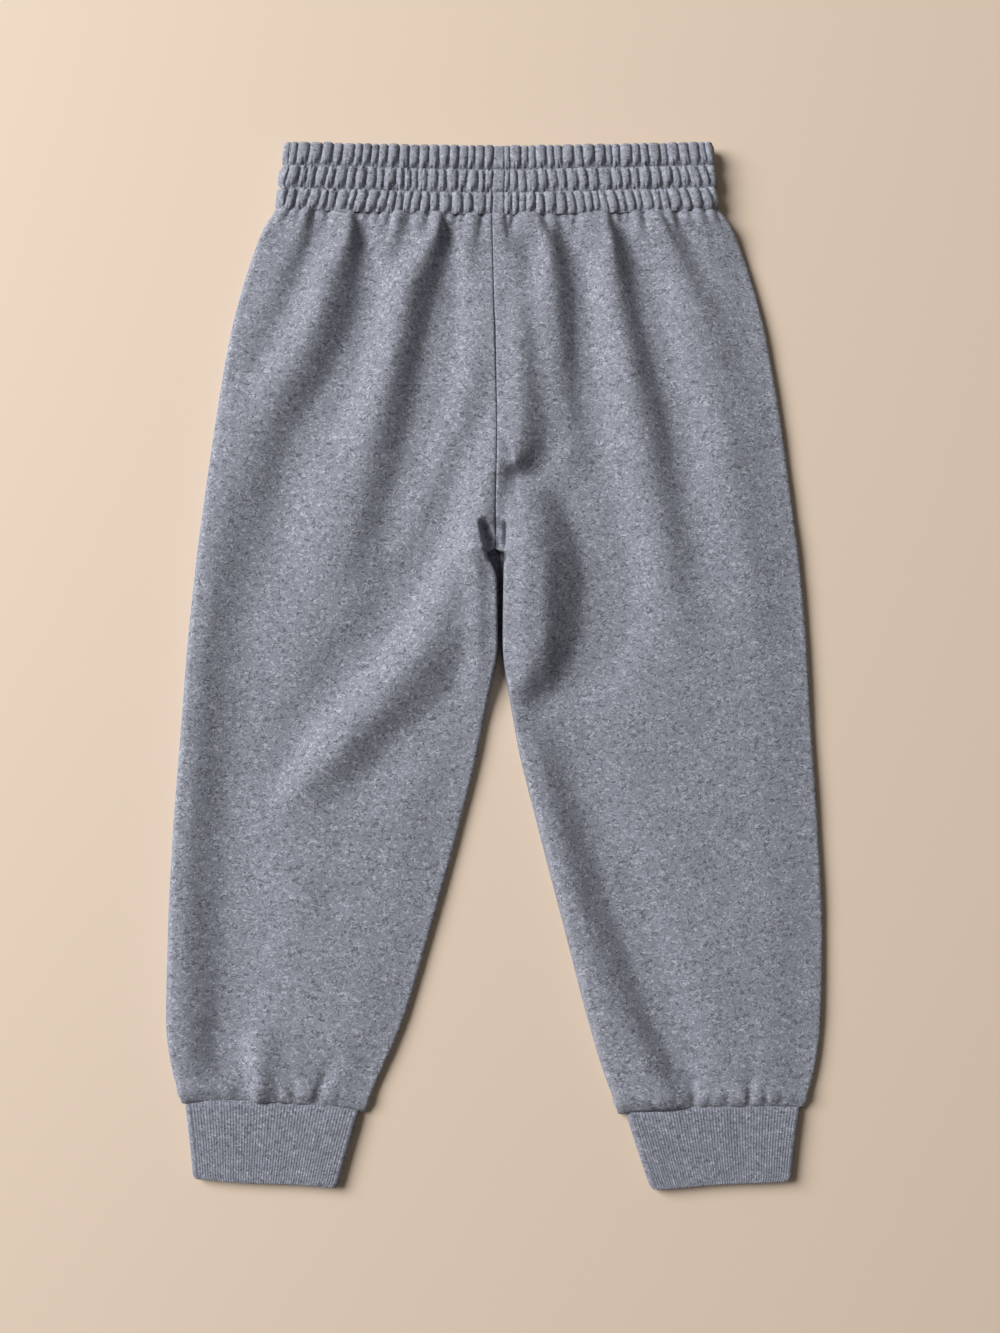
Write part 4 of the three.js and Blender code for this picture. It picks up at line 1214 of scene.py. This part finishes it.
def make_floor():
    finish = Finish("floor")
    finish.surface({"Base Color": FLOOR_COLOUR, "Roughness": 0.7})
    bm = bmesh.new()
    bmesh.ops.create_grid(bm, x_segments=1, y_segments=1, size=FLOOR_HALF)
    bmesh.ops.translate(bm, verts=bm.verts, vec=(0, 0, -FLOOR_UNDER * MM))
    mesh_object("floor", bm, finish.material)


def make_lights():
    for name, lamp in LAMPS.items():
        data = bpy.data.lights.new(name, "AREA")
        data.shape = "DISK"
        data.size = lamp["size"]
        data.energy = lamp["power"]
        data.color = lamp["colour"]
        light = bpy.data.objects.new(name, data)
        light.location = lamp["place"]
        light.rotation_euler = (-Vector(lamp["place"])).to_track_quat("-Z", "Y").to_euler()
        bpy.context.collection.objects.link(light)
    world = bpy.data.worlds.new("room")
    world.use_nodes = True
    background = world.node_tree.nodes["Background"]
    background.inputs["Color"].default_value = ROOM_COLOUR
    background.inputs["Strength"].default_value = ROOM_STRENGTH
    bpy.context.scene.world = world
    bpy.context.scene.view_settings.view_transform = "Standard"


# The garment

fleece = melange("fleece", FLEECE_MID, FLEECE_LIGHT, FLEECE_DARK, False)
# the waistband's fleece: the same cloth with a paler mid colour, which is painted light
painted_light_fleece = melange("fleece_painted_light", CASING_PAINTED_LIGHT_MID, FLEECE_LIGHT, FLEECE_DARK, False)
rib_knit = melange("rib_knit", RIB_MID, RIB_LIGHT, RIB_DARK, True)
thread = make_thread()

UP = Vector((0, 0, 1))
back_left = make_panel("back_left_cloth", LEFT_LEG, back_surface, 3, BACK_STEPS, UP, fleece)
back_right = make_panel("back_right_cloth", RIGHT_LEG, back_surface, 5, BACK_STEPS, UP, fleece)
front_left = make_panel("front_left_cloth", LEFT_LEG, front_surface, 7, FRONT_STEPS, -UP, fleece)
front_right = make_panel("front_right_cloth", RIGHT_LEG, front_surface, 9, FRONT_STEPS, -UP, fleece)
band, band_points = make_band(painted_light_fleece)
stitching = make_stitching(band_points, thread)
cuff_left = make_cuff("cuff_left_rib", CUFF_LEFT, 2, rib_knit)
cuff_right = make_cuff("cuff_right_rib", CUFF_RIGHT, 4, rib_knit)

for piece, node, slot in (
    (back_left, "back_left", "fleece"),
    (back_right, "back_right", "fleece"),
    (front_left, "front_left", "fleece"),
    (front_right, "front_right", "fleece"),
    (band, "waistband", "fleece"),
    (cuff_left, "cuff_left", "rib"),
    (cuff_right, "cuff_right", "rib"),
):
    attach(piece, "root")
    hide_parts(node)

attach(stitching, "root")

make_floor()
make_lights()
